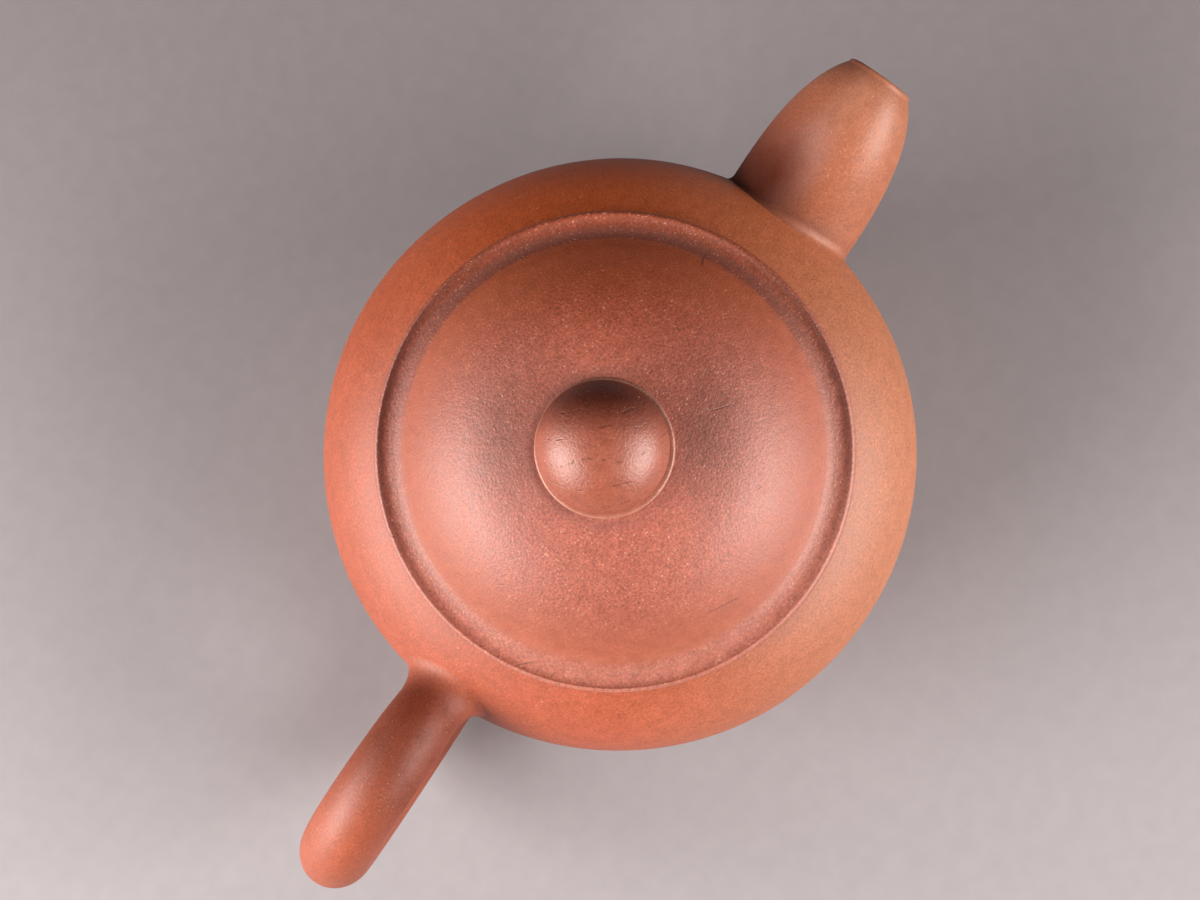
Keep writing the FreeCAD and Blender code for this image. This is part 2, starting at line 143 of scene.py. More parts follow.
def make_piece(name, grid, ring=False, **marks):
    """Closed skin over a grid of rows by columns, in millimetres. Columns wrap round; rows wrap too for a
    ring, and otherwise fans close the first and last rows. Marks are a number for each point or row."""
    rows, columns = grid.shape[:2]
    index = np.arange(rows * columns).reshape(rows, columns)
    if ring:
        index = np.vstack((index, index[:1]))
    beside = np.roll(index, -1, axis=1)
    faces = np.stack((index[:-1], beside[:-1], beside[1:], index[1:]), axis=-1).reshape(-1, 4).tolist()
    points = grid.reshape(-1, 3)
    if not ring:
        hub = np.full(columns, len(points))
        faces += np.column_stack((hub, beside[0], index[0])).tolist()
        faces += np.column_stack((hub + 1, index[-1], beside[-1])).tolist()
        points = np.vstack((points, grid[0].mean(axis=0), grid[-1].mean(axis=0)))
    mesh = bpy.data.meshes.new(name)
    mesh.from_pydata((points * MM).tolist(), [], faces)
    for mark, values in marks.items():
        by_row = values[:, None] if values.ndim == 1 else values
        values = np.broadcast_to(by_row, (rows, columns)).reshape(-1)
        values = np.concatenate((values, np.zeros(len(points) - len(values))))
        mesh.attributes.new(mark, "FLOAT", "POINT").data.foreach_set("value", values)
    mesh.shade_smooth()
    mesh.set_sharp_from_angle(angle=SHARP_EDGE)
    piece = bpy.data.objects.new(name, mesh)
    bpy.context.scene.collection.objects.link(piece)
    print(f"{name}: {len(points)} points, {len(faces)} faces")
    return piece


def pierce(piece, drill):
    """Cuts the closed skin of a drill out of a piece, and clears the drill away."""
    cut = piece.modifiers.new("hole", "BOOLEAN")
    cut.object, cut.operation, cut.solver = drill, "DIFFERENCE", "EXACT"
    made = bpy.data.meshes.new_from_object(piece.evaluated_get(bpy.context.evaluated_depsgraph_get()))
    piece.modifiers.remove(cut)
    old, piece.data = piece.data, made
    made.name = piece.name
    bpy.data.meshes.remove(old)
    made.set_sharp_from_angle(angle=SHARP_EDGE)
    bpy.data.objects.remove(drill)
    print(f"{piece.name}: {len(made.polygons)} faces after its hole")


# %% Marks that fade out
def near(distance, width):
    """1 at a distance of 0, falling off smoothly over a width: e to the power of -(distance / width)^2."""
    return np.exp(-(distance / width) ** 2)


def ramp(value, start, end):
    """0 up to the start and 1 from the end on, rising evenly between them."""
    return np.clip((value - start) / (end - start), 0, 1)


# %% [markdown]
# ## The pot
#
# The side of the pot is two arcs, one below the belly and one above it, both upright where they meet. It
# was paddled and scraped by hand, so it isn't perfectly round: a slow unevenness of two tenths of a
# millimetre keeps its highlights from looking machined. A Displace modifier could add that, but waves round
# the pot leave the mouth true, as it has to be, because the lid was ground to fit.

# %% The unevenness of hand work
# Each wave's size in millimetres, lobes round the pot, start, and twist for each millimetre of height
HAND_WAVES = ((0.10, 2, 0.5, 0.0), (0.06, 3, 2.0, 0.06), (0.04, 5, 0.0, -0.09))
HAND_DEPTH = 0.2
TRUE_R, UNEVEN_R = 27, 39


def by_hand(grid):
    """Moves each point inwards by depth - sum of size * cos(lobes * turn + start + twist * z). The move
    grows from nothing at TRUE_R, so that the mouth and the foot stay true."""
    x, y, z = np.moveaxis(grid, 2, 0)
    turn = np.arctan2(y, x)
    wave = sum(size * np.cos(lobes * turn + start + twist * z) for size, lobes, start, twist in HAND_WAVES)
    push = (wave - HAND_DEPTH) * ramp(np.hypot(x, y), TRUE_R, UNEVEN_R)
    return grid + np.stack((push * np.cos(turn), push * np.sin(turn), 0 * push), axis=2)


# %% The pot's outer face
TINY = 1e-6


def wall_bend(level):
    """Radius of the arc that the pot's side follows at a level."""
    return np.where(level < BELLY_Z, LOWER_ARC, UPPER_ARC)


def wall_radius(level):
    """Radius of the outer face at a level: belly - bend + root of (bend^2 - rise^2)."""
    bend = wall_bend(level)
    return BELLY_R - bend + np.sqrt(np.maximum(bend ** 2 - (level - BELLY_Z) ** 2, TINY))


def wall_normal(point):
    """Direction straight out of the outer face at a point on it: (cos t, sin t, -slope), made one long."""
    x, y, z = np.moveaxis(point, -1, 0)
    radius, rise = np.hypot(x, y), z - BELLY_Z
    slope = -rise / np.sqrt(np.maximum(wall_bend(z) ** 2 - rise ** 2, TINY))
    out = np.stack((x / radius, y / radius, -slope), axis=-1)
    return out / np.linalg.norm(out, axis=-1, keepdims=True)


# %% Wall and shoulder
NECK_ROUND, NECK_FINE = 0.6, 6
ROUND_STEP, FINE_STEP = 0.15, 0.12
foot_angle = math.degrees(math.atan2(FOOT_Z - BELLY_Z, FOOT_R - BELLY_R + LOWER_ARC))
neck_angle = math.degrees(math.atan2(SHOULDER_Z - BELLY_Z, NECK_R - BELLY_R + UPPER_ARC))
lower_center, upper_center = (BELLY_R - LOWER_ARC, BELLY_Z), (BELLY_R - UPPER_ARC, BELLY_Z)
INNER_NECK_Z = BELLY_Z + (UPPER_ARC - WALL) * math.sin(math.radians(neck_angle))
wall_line = outline(
    arc(lower_center, LOWER_ARC, foot_angle, 0),
    arc(upper_center, UPPER_ARC, 0, neck_angle - NECK_FINE),
    arc(upper_center, UPPER_ARC, neck_angle - NECK_FINE, neck_angle, FINE_STEP),
    spot(MOUTH_R, SHOULDER_Z),
    arc((MOUTH_R + NECK_ROUND, INNER_NECK_Z + NECK_ROUND), NECK_ROUND, 180, 270, ROUND_STEP),
    arc(upper_center, UPPER_ARC - WALL, neck_angle, 0),
    arc(lower_center, LOWER_ARC - WALL, 0, foot_angle),
    ring=True,
)

# Painted shade: the wall is darker at the foot, and dark in the strip that the lid overhangs, as its shadow
LID_R = node_box("lid_flange")[1][0]
SHADOW_FROM, SHADOW_FULL, FOOT_DARK = LID_R + 0.75, LID_R + 0.25, 1.5
FACE_SLACK = 0.5
wall_r, wall_z = wall_line.T
outer_face = wall_r >= wall_radius(wall_z) - FACE_SLACK
painted_lid_shadow = ramp(wall_r, SHADOW_FROM, SHADOW_FULL) * (wall_z > BELLY_Z)
wall_shade = (painted_lid_shadow + near(wall_z - FOOT_Z, FOOT_DARK)) * outer_face
pot_wall = make_piece("pot_wall", by_hand(turned(wall_line)), ring=True, crease=wall_shade)

# %% The spout's hole through the wall
SPOUT_Z, HOLE_R = 23.8, 6.2
DRILL_IN, DRILL_OUT, DRILL_COLUMNS = BELLY_R - 8, BELLY_R + 4, 64
bar = turned(outline(spot(HOLE_R, DRILL_IN), spot(HOLE_R, DRILL_OUT)), DRILL_COLUMNS)
lying_bar = np.roll(bar, 1, axis=2) + [0, 0, SPOUT_Z]
pierce(pot_wall, make_piece("spout_drill", lying_bar))

# %% Base disc
# Outlines of closed pieces start and end at the hub, this far from the axis, where a fan closes them
HUB, BASE_COLUMNS = 0.2, 180
BASE_TOP = BELLY_Z + (LOWER_ARC - WALL) * math.sin(math.radians(foot_angle))
BASE_R = BELLY_R - LOWER_ARC + (LOWER_ARC - WALL) * math.cos(math.radians(foot_angle))
base_line = outline(spot(HUB, FOOT_Z), spot(FOOT_R, FOOT_Z), spot(BASE_R, BASE_TOP), spot(HUB, BASE_TOP))
base_disc = make_piece("pot_base", turned(base_line, BASE_COLUMNS))

# %% Foot ring, rubbed where it stands
FOOT_WIDTH, FOOT_ROUND = 3.6, 0.8
RING_STEP, RING_COLUMNS, EDGE_REACH = 0.4, 240, 0.4
FOOT_IN = FOOT_R - FOOT_WIDTH
foot_line = outline(
    arc((FOOT_IN + FOOT_ROUND, FOOT_ROUND), FOOT_ROUND, 180, 270, ROUND_STEP),
    arc((FOOT_R - FOOT_ROUND, FOOT_ROUND), FOOT_ROUND, 270, 360, ROUND_STEP),
    spot(FOOT_R, FOOT_Z), spot(FOOT_IN, FOOT_Z), ring=True, step=RING_STEP,
)
foot_wear = near(foot_line[:, 1], EDGE_REACH)
foot_ring = make_piece("pot_foot", turned(foot_line, RING_COLUMNS), ring=True, wear=foot_wear)

# %% Mouth ring, rubbed by the lid
LIP_ROUND, LIP_WEAR = 0.5, 0.25
lip_line = outline(
    spot(MOUTH_R, SHOULDER_Z), spot(LIP_R, SHOULDER_Z),
    arc((LIP_R - LIP_ROUND, LIP_Z - LIP_ROUND), LIP_ROUND, 0, 90, FINE_STEP),
    arc((MOUTH_R + LIP_ROUND, LIP_Z - LIP_ROUND), LIP_ROUND, 90, 180, FINE_STEP), ring=True, step=RING_STEP,
)
lip_wear = LIP_WEAR * near(lip_line[:, 1] - LIP_Z, EDGE_REACH)
lip_crease = near(lip_line[:, 1] - SHOULDER_Z, EDGE_REACH)
mouth_ring = make_piece("pot_lip", turned(lip_line), ring=True, wear=lip_wear, crease=lip_crease)


# %% [markdown]
# ## Joining a tube to the pot
#
# The spout and the handle are rolled separately and luted on with slip, and the seam is smoothed with a
# wet finger into a small fillet. A Bevel after a Boolean could round the seam, but it breaks easily on
# such curved faces. Here the script finds where each line along the tube meets the pot, by halving the
# range again and again for all lines at once, and bends a curve from the pot's face to the tube.

# %% Root fillets
HALVINGS = 40
SHARE_STEP = 1e-4
FOOT_BURY = 0.06


def meet_wall(tube, turn, inner, outer):
    """Share along a tube where each of its lines crosses the pot's outer face, by halving the range."""
    low, high = np.full(turn.shape, inner), np.full(turn.shape, outer)
    for _ in range(HALVINGS):
        middle = (low + high) / 2
        point = tube(middle, turn)
        buried = np.hypot(point[:, 0], point[:, 1]) < wall_radius(point[:, 2])
        low, high = np.where(buried, middle, low), np.where(buried, high, middle)
    return low


def root_fillet(tube, turn, share, reach, toward, rows=12):
    """Rows of a curve from just under the pot's face to the tube, rounding the corner where they meet, and
    the share where the tube itself starts. Toward is 1 if the tube leaves the pot as its share grows, and
    else -1."""
    corner = tube(share, turn)
    speed = np.linalg.norm(tube(share + SHARE_STEP * toward, turn) - corner, axis=1) / SHARE_STEP
    begin = share + toward * reach / speed
    normal = wall_normal(corner)
    away = corner - corner.mean(axis=0)
    away -= (away * normal).sum(axis=1, keepdims=True) * normal
    foot = corner + reach * away / np.linalg.norm(away, axis=1, keepdims=True)
    foot[:, :2] *= ((wall_radius(foot[:, 2]) - FOOT_BURY) / np.hypot(foot[:, 0], foot[:, 1]))[:, None]
    return rounded(foot, corner, tube(begin, turn), np.linspace(0, 1, rows)[:, None, None]), begin


# %% [markdown]
# ## The spout
#
# A short thick spout: its line climbs slowly, then steeply, then levels out, and it narrows late, so it
# looks full like a thumb. The tip is cut almost upright. Its lip is thin and rounded, with a faint flaw at
# one side. A curve with a round bevel could make the tube, but a grid of shares along it and turns about
# it also takes the lip and the bore, so the whole spout is one closed skin.

# %% The spout's line and radius
SPOUT_ROOT_R, SPOUT_TIP_R, SPOUT_WALL = 9.35, 4.5, 1.9
ROOT_TILT, TIP_TILT, BOW_TILT = 4.0, 16.0, 20.0
SPOUT_START = BELLY_R - 2.8
SPOUT_RUN = node_box("spout")[1][0] - SPOUT_TIP_R * math.sin(math.radians(TIP_TILT)) - SPOUT_START
SPOUT_TIP_Z, CLIMB_EASE = 36.0, 0.45
TIP_PINCH, PINCH_REACH = 0.5, 1.4
SPOUT_SKEW, SKEW_START = 0.036, BELLY_R - 6
print(f"spout {SPOUT_RUN:.2f} long, rising {SPOUT_TIP_Z - SPOUT_Z:.2f}")


def spout_frame(share):
    """Centre of the spout at a share of its run, and its lean there in radians. It climbs by
    share - ease * sin(2 pi share) / (2 pi), and bows by a half wave of the lean."""
    held = np.clip(share, 0, 1)
    climb = held - CLIMB_EASE * np.sin(2 * np.pi * held) / (2 * np.pi)
    lean = np.radians(ROOT_TILT + (TIP_TILT - ROOT_TILT) * held + BOW_TILT * np.sin(np.pi * held))
    return SPOUT_START + SPOUT_RUN * share, SPOUT_Z + (SPOUT_TIP_Z - SPOUT_Z) * climb, lean


def spout_tube(inset):
    """Point at a share of the run and a turn about it: centre + radius * (cos t sideways + sin t upwards).
    The radius narrows with the cube of the share, less a pinch behind the lip and the inset."""
    def tube(share, turn):
        x, z, lean = spout_frame(share)
        held = np.clip(share, 0, 1)
        pinch = TIP_PINCH * np.exp((held - 1) * SPOUT_RUN / PINCH_REACH)
        radius = SPOUT_ROOT_R + (SPOUT_TIP_R - SPOUT_ROOT_R) * held ** 3 - pinch - inset
        up = radius * np.sin(turn)
        sideways = radius * np.cos(turn) + SPOUT_SKEW * np.clip(x - SKEW_START, 0, None)
        return np.stack((x - up * np.sin(lean), sideways, z + up * np.cos(lean)), axis=-1)
    return tube


# %% The spout's skin: fillet, body, rolled lip and bore
SPOUT_COLUMNS, BODY_ROWS, LIP_ROWS, BORE_ROWS = 160, 59, 11, 36
LIP_BULGE, LIP_FULLNESS = 0.55, 0.7
SPOUT_REACH, SPOUT_MEETS = 1.1, (-0.3, 0.5)
turn = np.linspace(0, 2 * np.pi, SPOUT_COLUMNS, endpoint=False)
outer, bore = spout_tube(0.0), spout_tube(SPOUT_WALL)
spout_end = 1 - LIP_BULGE / SPOUT_RUN
fillet, begin = root_fillet(outer, turn, meet_wall(outer, turn, *SPOUT_MEETS), SPOUT_REACH, 1)
body = outer(begin + (spout_end - begin) * np.linspace(0, 1, BODY_ROWS + 1)[1:, None], turn)
tip_lean = spout_frame(spout_end)[2]
axis = np.array([math.cos(tip_lean), 0, math.sin(tip_lean)])
curl = np.radians(np.linspace(0, 180, LIP_ROWS + 2))[1:-1, None, None]
lip_middle = (outer(spout_end, turn) + bore(spout_end, turn)) / 2
lip_out = outer(spout_end, turn) - lip_middle
lip = lip_middle + np.cos(curl) * lip_out + LIP_BULGE * np.sin(curl) ** LIP_FULLNESS * axis
bore_end = meet_wall(bore, turn, *SPOUT_MEETS)
inner = bore(spout_end + (bore_end - spout_end) * np.linspace(0, 1, BORE_ROWS)[:, None], turn)
spout_grid = np.concatenate((fillet, body, lip, inner))
print("spout grid:", spout_grid.shape[:2])

# %% A faint flaw in its lip
# The lip leans back on that side, so only a little of the depth is left there
FLAW_TURN, FLAW_WIDTH, FLAW_REACH, FLAW_DEPTH = math.radians(126), 0.6, 1.1, 0.7
tip_gap = spout_grid[..., 0].max() - spout_grid[..., 0]
flaw = FLAW_DEPTH * near((turn - FLAW_TURN) * SPOUT_TIP_R, FLAW_WIDTH) * near(tip_gap, FLAW_REACH)
spout_grid = spout_grid - flaw[..., None] * axis
out, side, level = np.moveaxis(spout_grid - [BELLY_R, 0, 0], 2, 0)
print(f"flaw {flaw.max():.2f} deep")

# %% Wear on the spout: its rubbed lip and dust in the seam, and a pale painted highlight on its back
LIP_RUB = 0.5
DUST, DUST_ROWS, DUST_TURN, DUST_SPREAD = 0.3, slice(6, 11), math.radians(124), math.radians(22)
PAINTED_HIGHLIGHT, HIGHLIGHT_OUT, HIGHLIGHT_LENGTH, HIGHLIGHT_SIDE, HIGHLIGHT_WIDTH = 0.35, 13, 5, 2, 2.5
spout_wear_and_highlight = near(tip_gap, LIP_RUB)
spout_wear_and_highlight[DUST_ROWS] += DUST * near(turn - DUST_TURN, DUST_SPREAD)
# The pale patch on the spout's back is a painted highlight, where the left window would shine
highlight_patch = near(out - HIGHLIGHT_OUT, HIGHLIGHT_LENGTH) * near(side - HIGHLIGHT_SIDE, HIGHLIGHT_WIDTH) * (level > SPOUT_Z)
spout_wear_and_highlight += PAINTED_HIGHLIGHT * highlight_patch
print(f"spout wear up to {spout_wear_and_highlight.max():.2f}")

# %% Soil and tea on the spout: the seam, the tip, and painted shadow on the side that the pot shades
ROOT_SHADE_SIDE, ROOT_SHADE_OUT, ROOT_SHADE_LENGTH = (-2, 4), 1, 7.5
DRIP, DRIP_SIDE, DRIP_LENGTH = 0.95, (-0.5, 3.5), 4.5
ROOT_SHADOW, SHADOW_SIDE, SHADOW_LENGTH = 1.35, (-1, 5), 5
SEAM_FOOT, SEAM_TOP, SEAM_ROWS = 0.2, 0.5, 5
# The root's side away from the left window is painted dark: a tea-brown coat that is partly stain and partly
# painted shadow of the pot, and dark soil that is painted shadow
root_stain_and_shade = ramp(side, *ROOT_SHADE_SIDE) * near(out - ROOT_SHADE_OUT, ROOT_SHADE_LENGTH)
spout_stain_and_shade = np.maximum(root_stain_and_shade, DRIP * near(tip_gap, DRIP_LENGTH) * ramp(side, *DRIP_SIDE))
seam = np.concatenate((
    np.linspace(SEAM_FOOT, SEAM_TOP, len(fillet)), SEAM_TOP * near(np.arange(BODY_ROWS), SEAM_ROWS),
    np.zeros(LIP_ROWS + BORE_ROWS),
))
spout_soil_and_shade = np.maximum(seam[:, None], ROOT_SHADOW * ramp(side, *SHADOW_SIDE) * near(out, SHADOW_LENGTH))
spout = make_piece(
    "pot_spout", by_hand(spout_grid), ring=True, wear=spout_wear_and_highlight, crease=spout_soil_and_shade, stain=spout_stain_and_shade,
)


# %% [markdown]
# ## The handle
#
# A round ear: a rolled coil of clay bent into a loop, a little thicker in its middle, with both ends
# spread onto the wall. A torus could stand for it, but its ends have to turn into the wall. So its line is
# a smooth spline through sections round the loop and two roots sunk in the wall.

# %% The handle's sections
HANDLE_R, HANDLE_SWELL, LOOP_R = 4.4, 0.45, 14.7
LOOP_X, LOOP_Z = node_box("handle")[0][0] + HANDLE_R + HANDLE_SWELL + LOOP_R, 22.2
LOOP_START, LOOP_SECTIONS = 40.0, 13
ROOT_LEAN, ROOT_SINK, ROOT_SPREAD = 26.0, 2.0, 0.7


def root_section(bend, way):
    """Section sunk in the wall, on the arc of a bend above the belly (way 1) or below it (way -1)."""
    lean, sunk = math.radians(ROOT_LEAN), bend - ROOT_SINK
    x, z = bend - BELLY_R - sunk * math.cos(lean), BELLY_Z + way * sunk * math.sin(lean)
    return [x, z, way * math.radians(90 - ROOT_LEAN) % (2 * math.pi), HANDLE_R + ROOT_SPREAD]


steps = np.linspace(0, 1, LOOP_SECTIONS)
loop = np.radians(LOOP_START + (360 - 2 * LOOP_START) * steps)
loop_x, loop_z = LOOP_X + LOOP_R * np.cos(loop), LOOP_Z + LOOP_R * np.sin(loop)
loop_sections = np.column_stack((loop_x, loop_z, loop, HANDLE_R + HANDLE_SWELL * np.sin(np.pi * steps)))
sections = np.vstack((root_section(UPPER_ARC, 1), loop_sections, root_section(LOWER_ARC, -1)))
print(f"handle: {len(sections)} sections, from {sections[0, 1]:.2f} down to {sections[-1, 1]:.2f}")

# %% The handle's line and tube
HANDLE_SKEW = 0.045


def spline(keys, place):
    """Smooth curve through the keys (Catmull-Rom): at key i plus f it weighs keys i-1 to i+2 by cubics
    of f."""
    padded = np.vstack((2 * keys[0] - keys[1], keys, 2 * keys[-1] - keys[-2]))
    first = np.clip(np.floor(place).astype(int), 0, len(keys) - 2)
    f = (place - first)[..., None]
    a, b, c, d = (padded[first + i] for i in range(4))
    return b + 0.5 * f * (c - a + f * (2 * a - 5 * b + 4 * c - d + f * (3 * (b - c) + d - a)))


def handle_tube(place, turn):
    """Point at a place along the sections and a turn about them: centre + radius * (cos t outwards + sin t
    sideways), pushed sideways the more the farther it is from the pot."""
    x, z, way, radius = np.moveaxis(spline(sections, place), -1, 0)
    out = radius * np.cos(turn)
    sideways = radius * np.sin(turn) - HANDLE_SKEW * np.clip(-x - SKEW_START, 0, None)
    return np.stack((x + out * np.cos(way), sideways, z + out * np.sin(way)), axis=-1)


# %% The handle's skin
HANDLE_COLUMNS, HANDLE_ROWS = 128, 148
ROOT_REACH, ROOT_RANGE = 2.4, 3.0
turn = np.linspace(0, 2 * np.pi, HANDLE_COLUMNS, endpoint=False)
last = len(sections) - 1.0
upper_meets = meet_wall(handle_tube, turn, 0.0, ROOT_RANGE)
lower_meets = meet_wall(handle_tube, turn, last, last - ROOT_RANGE)
upper_rows, begin = root_fillet(handle_tube, turn, upper_meets, ROOT_REACH, 1)
lower_rows, end = root_fillet(handle_tube, turn, lower_meets, ROOT_REACH, -1)
body = handle_tube(begin + (end - begin) * np.linspace(0, 1, HANDLE_ROWS + 2)[1:-1, None], turn)
handle_grid = np.concatenate((upper_rows, body, lower_rows[::-1]))

# Tea stains the whole handle a little. The half near the pot is darker, partly tea stain and partly painted
# shade where the body blocks the light; one flank is darker as painted shade, and the roots are the most
# soiled
STAIN_LEAST, NEAR_POT_MOST, NEAR_POT_SWAY, NEAR_POT_X = 0.1, 0.85, 0.05, (-58, -46)
FLANK_SHADE, FLANK_EDGE = 0.5, 0.3
CLEAN_ROWS, ROOT_SOIL, SOIL_ROW, SOIL_ROWS = (4, 10), 0.25, 7, 6
rows = np.arange(len(handle_grid))
root_gap = np.minimum(rows, rows[::-1])
near_pot_stain_and_shade = ramp(handle_grid[..., 0], *NEAR_POT_X) * (NEAR_POT_MOST - NEAR_POT_SWAY * np.sin(turn))
painted_flank_shade = FLANK_SHADE * np.clip(-np.sin(turn) - FLANK_EDGE, 0, 1)
handle_stain_and_shade = np.minimum(STAIN_LEAST + near_pot_stain_and_shade + painted_flank_shade, 1) * ramp(root_gap, *CLEAN_ROWS)[:, None]
handle_crease = ROOT_SOIL * near(root_gap - SOIL_ROW, SOIL_ROWS)
handle = make_piece("pot_handle", by_hand(handle_grid), crease=handle_crease, stain=handle_stain_and_shade)


# %% [markdown]
# ## The lid
#
# The lid is a dome on a flat flange. The flange's tread is dished, so it makes a soft dark groove round
# the dome, deepened with painted shade. Under it a bezel reaches into the mouth. The knob is a flattened
# bead on a short neck, and the neck stands on a thin collar, which shows as a pale ring round the bead,
# partly a painted highlight. Dome and flange could be two pieces, as they were in the potter's hands, but
# one outline for both bends without a seam.

# %% The dome's arcs
FLANGE_Z = node_box("lid_dome")[0][2]
DOME_R, DOME_TOP = node_box("lid_dome")[1][0], node_box("lid_dome")[1][2]
DOME_WALL, DOME_CROWN_R, DOME_CROWN_REACH = 2.8, 52.0, 13.4
CROWN_Z = DOME_TOP - DOME_CROWN_R
crown_tilt = math.asin(DOME_CROWN_REACH / DOME_CROWN_R)
crown_edge = 90 - math.degrees(crown_tilt)
edge_width = DOME_R - DOME_CROWN_REACH
edge_drop = CROWN_Z + DOME_CROWN_R * math.cos(crown_tilt) - FLANGE_Z
edge_span = edge_drop * math.cos(crown_tilt) - edge_width * math.sin(crown_tilt)
EDGE_BEND = (edge_width ** 2 + edge_drop ** 2) / (2 * edge_span)
edge_x = DOME_CROWN_REACH - EDGE_BEND * math.sin(crown_tilt)
edge_z = FLANGE_Z + edge_drop - EDGE_BEND * math.cos(crown_tilt)
print(f"dome: crown of {DOME_CROWN_R:.1f}, edge of {EDGE_BEND:.2f}")


def dome_arcs(inset):
    """The dome's two arcs, from its foot to its top: a rounder edge, then a flat crown."""
    edge, crown = EDGE_BEND - inset, DOME_CROWN_R - inset
    foot = math.degrees(math.asin((FLANGE_Z - edge_z) / edge))
    hub = math.degrees(math.acos(HUB / crown))
    edge_line = arc((edge_x, edge_z), edge, foot, crown_edge)
    return np.vstack((edge_line, arc((0, CROWN_Z), crown, crown_edge, hub)))


def crown_level(radius):
    """Level of the dome's crown at a radius: centre + root of (crown^2 - radius^2)."""
    return CROWN_Z + math.sqrt(DOME_CROWN_R ** 2 - radius ** 2)


# %% Dome and flange in one outline
BEZEL_R, BEZEL_WIDTH, EDGE_ROUND = node_box("lid_bezel")[1][0], 2.4, 0.5
BEZEL_IN = BEZEL_R - BEZEL_WIDTH
TREAD_DISH, DISH_LEAN, TREAD_ROWS = 0.38, 0.66, 19
FOOT_BEND, BEND_ROWS = 0.9, 10
tread_out = LID_R - EDGE_ROUND
tread = np.linspace(tread_out, DOME_R, TREAD_ROWS + 1)[:-1]
dish = np.sin(np.pi * ((tread_out - tread) / (tread_out - DOME_R)) ** DISH_LEAN)
tread_line = np.column_stack((tread, FLANGE_Z - TREAD_DISH * dish))[tread > DOME_R + FOOT_BEND]
dome_line = dome_arcs(0)
dome_line = dome_line[dome_line[:, 1] > FLANGE_Z + FOOT_BEND]
t = np.linspace(0, 1, BEND_ROWS + 2)[1:-1, None]
lid_line = outline(
    dome_arcs(DOME_WALL)[::-1],
    spot(BEZEL_IN, LIP_Z),
    arc((LID_R - EDGE_ROUND, LIP_Z + EDGE_ROUND), EDGE_ROUND, 270, 360, FINE_STEP),
    arc((LID_R - EDGE_ROUND, FLANGE_Z - EDGE_ROUND), EDGE_ROUND, 0, 90, FINE_STEP),
    tread_line,
    rounded(tread_line[-1], spot(DOME_R, FLANGE_Z), dome_line[0], t),
    dome_line,
)
lid_grid = turned(lid_line)
print("lid outline:", len(lid_line), "points")

# %% Places on the lid, by the picture's right (east) and top (north)
# The spout points this far anticlockwise from the picture's right
TILT = math.radians(53.63)
EAST = np.array([math.cos(TILT), -math.sin(TILT)])
NORTH = np.array([math.sin(TILT), math.cos(TILT)])
TOP_SLACK, UNDERSIDE = 0.6, 0.4
east, north = lid_grid[..., :2] @ EAST, lid_grid[..., :2] @ NORTH
lid_r, lid_z = lid_line[:, :1], lid_line[:, 1:]
past_underside = np.arange(len(lid_line))[:, None] > len(lid_line) * UNDERSIDE
on_top = (lid_z > FLANGE_Z - TOP_SLACK) & past_underside
print("rows on top of the lid:", int(on_top.sum()))

# %% The lid's wear on its edge, and painted light: a pale coat on the tread's near side, toward the windows
EDGE_WEAR, EDGE_IN, EDGE_RUB = 0.05, 0.15, 0.3
TREAD_LIGHT, LIGHT_BASE, LIGHT_NORTH, LIGHT_EAST = 0.2, 0.3, 40, 60
LIGHT_R = DOME_R - 2, DOME_R + 0.5
edge_wear = EDGE_WEAR * near(np.hypot(lid_r - LID_R + EDGE_IN, lid_z - FLANGE_Z + EDGE_IN), EDGE_RUB)
painted_near_light = np.clip(LIGHT_BASE - north / LIGHT_NORTH + east / LIGHT_EAST, 0, 1)
lid_wear_and_light = edge_wear + TREAD_LIGHT * painted_near_light * ramp(lid_r, *LIGHT_R) * on_top
print(f"lid wear up to {lid_wear_and_light.max():.2f}")

# %% The lid's painted shade: dark in the groove round the dome, the dome's shadow on the tread's far side, and a contact shadow round the knob, darkest on the left
GROOVE_SHADE, GROOVE_R, GROOVE_WIDTH = 0.2, DOME_R + 0.6, 0.7
DOME_SHADOW, FAR_WIDTH, FAR_NORTH, DOME_SHADOW_DEPTH = 0.9, 0.9, (12, 24), 0.6
KNOB_RING_R, KNOB_RING_WIDTH = 8.5, 0.8
RING_SHADE, RING_EAST, RING_LEAST = 0.45, 0.06, 0.15
painted_dome_shadow = DOME_SHADOW * near(lid_r - GROOVE_R, FAR_WIDTH) * ramp(north, *FAR_NORTH) * on_top
groove_shade = GROOVE_SHADE * near(lid_r - GROOVE_R, GROOVE_WIDTH)
ring_shade = np.clip(RING_SHADE - RING_EAST * east, RING_LEAST, 1)
knob_ring_shadow = ring_shade * near(lid_r - KNOB_RING_R, KNOB_RING_WIDTH)
lid_shade = (groove_shade + knob_ring_shadow) * on_top + DOME_SHADOW_DEPTH * painted_dome_shadow
print(f"lid soil up to {lid_shade.max():.2f}")

# %% The lid's painted shade in clouds and on its tread, and its burnished band
# Painted shade in dark clouds: each cloud's share, its place to the east and north, and its width and depth
SHADE_CLOUDS = ((0.42, -12, 1, 4.5, 8), (0.42, 11, 1, 3.5, 7), (0.15, 0, -19, 10, 5))
TREAD_SHADE, SHADE_NORTH, SHADE_EAST, SHADE_MOST = 0.13, 120, 400, 0.32
BAND_FROM, BAND_FULL = 17, 23
shade_clouds = sum(
    share * near(np.hypot((east - right) / wide, (north - up) / deep), 1)
    for share, right, up, wide, deep in SHADE_CLOUDS
)
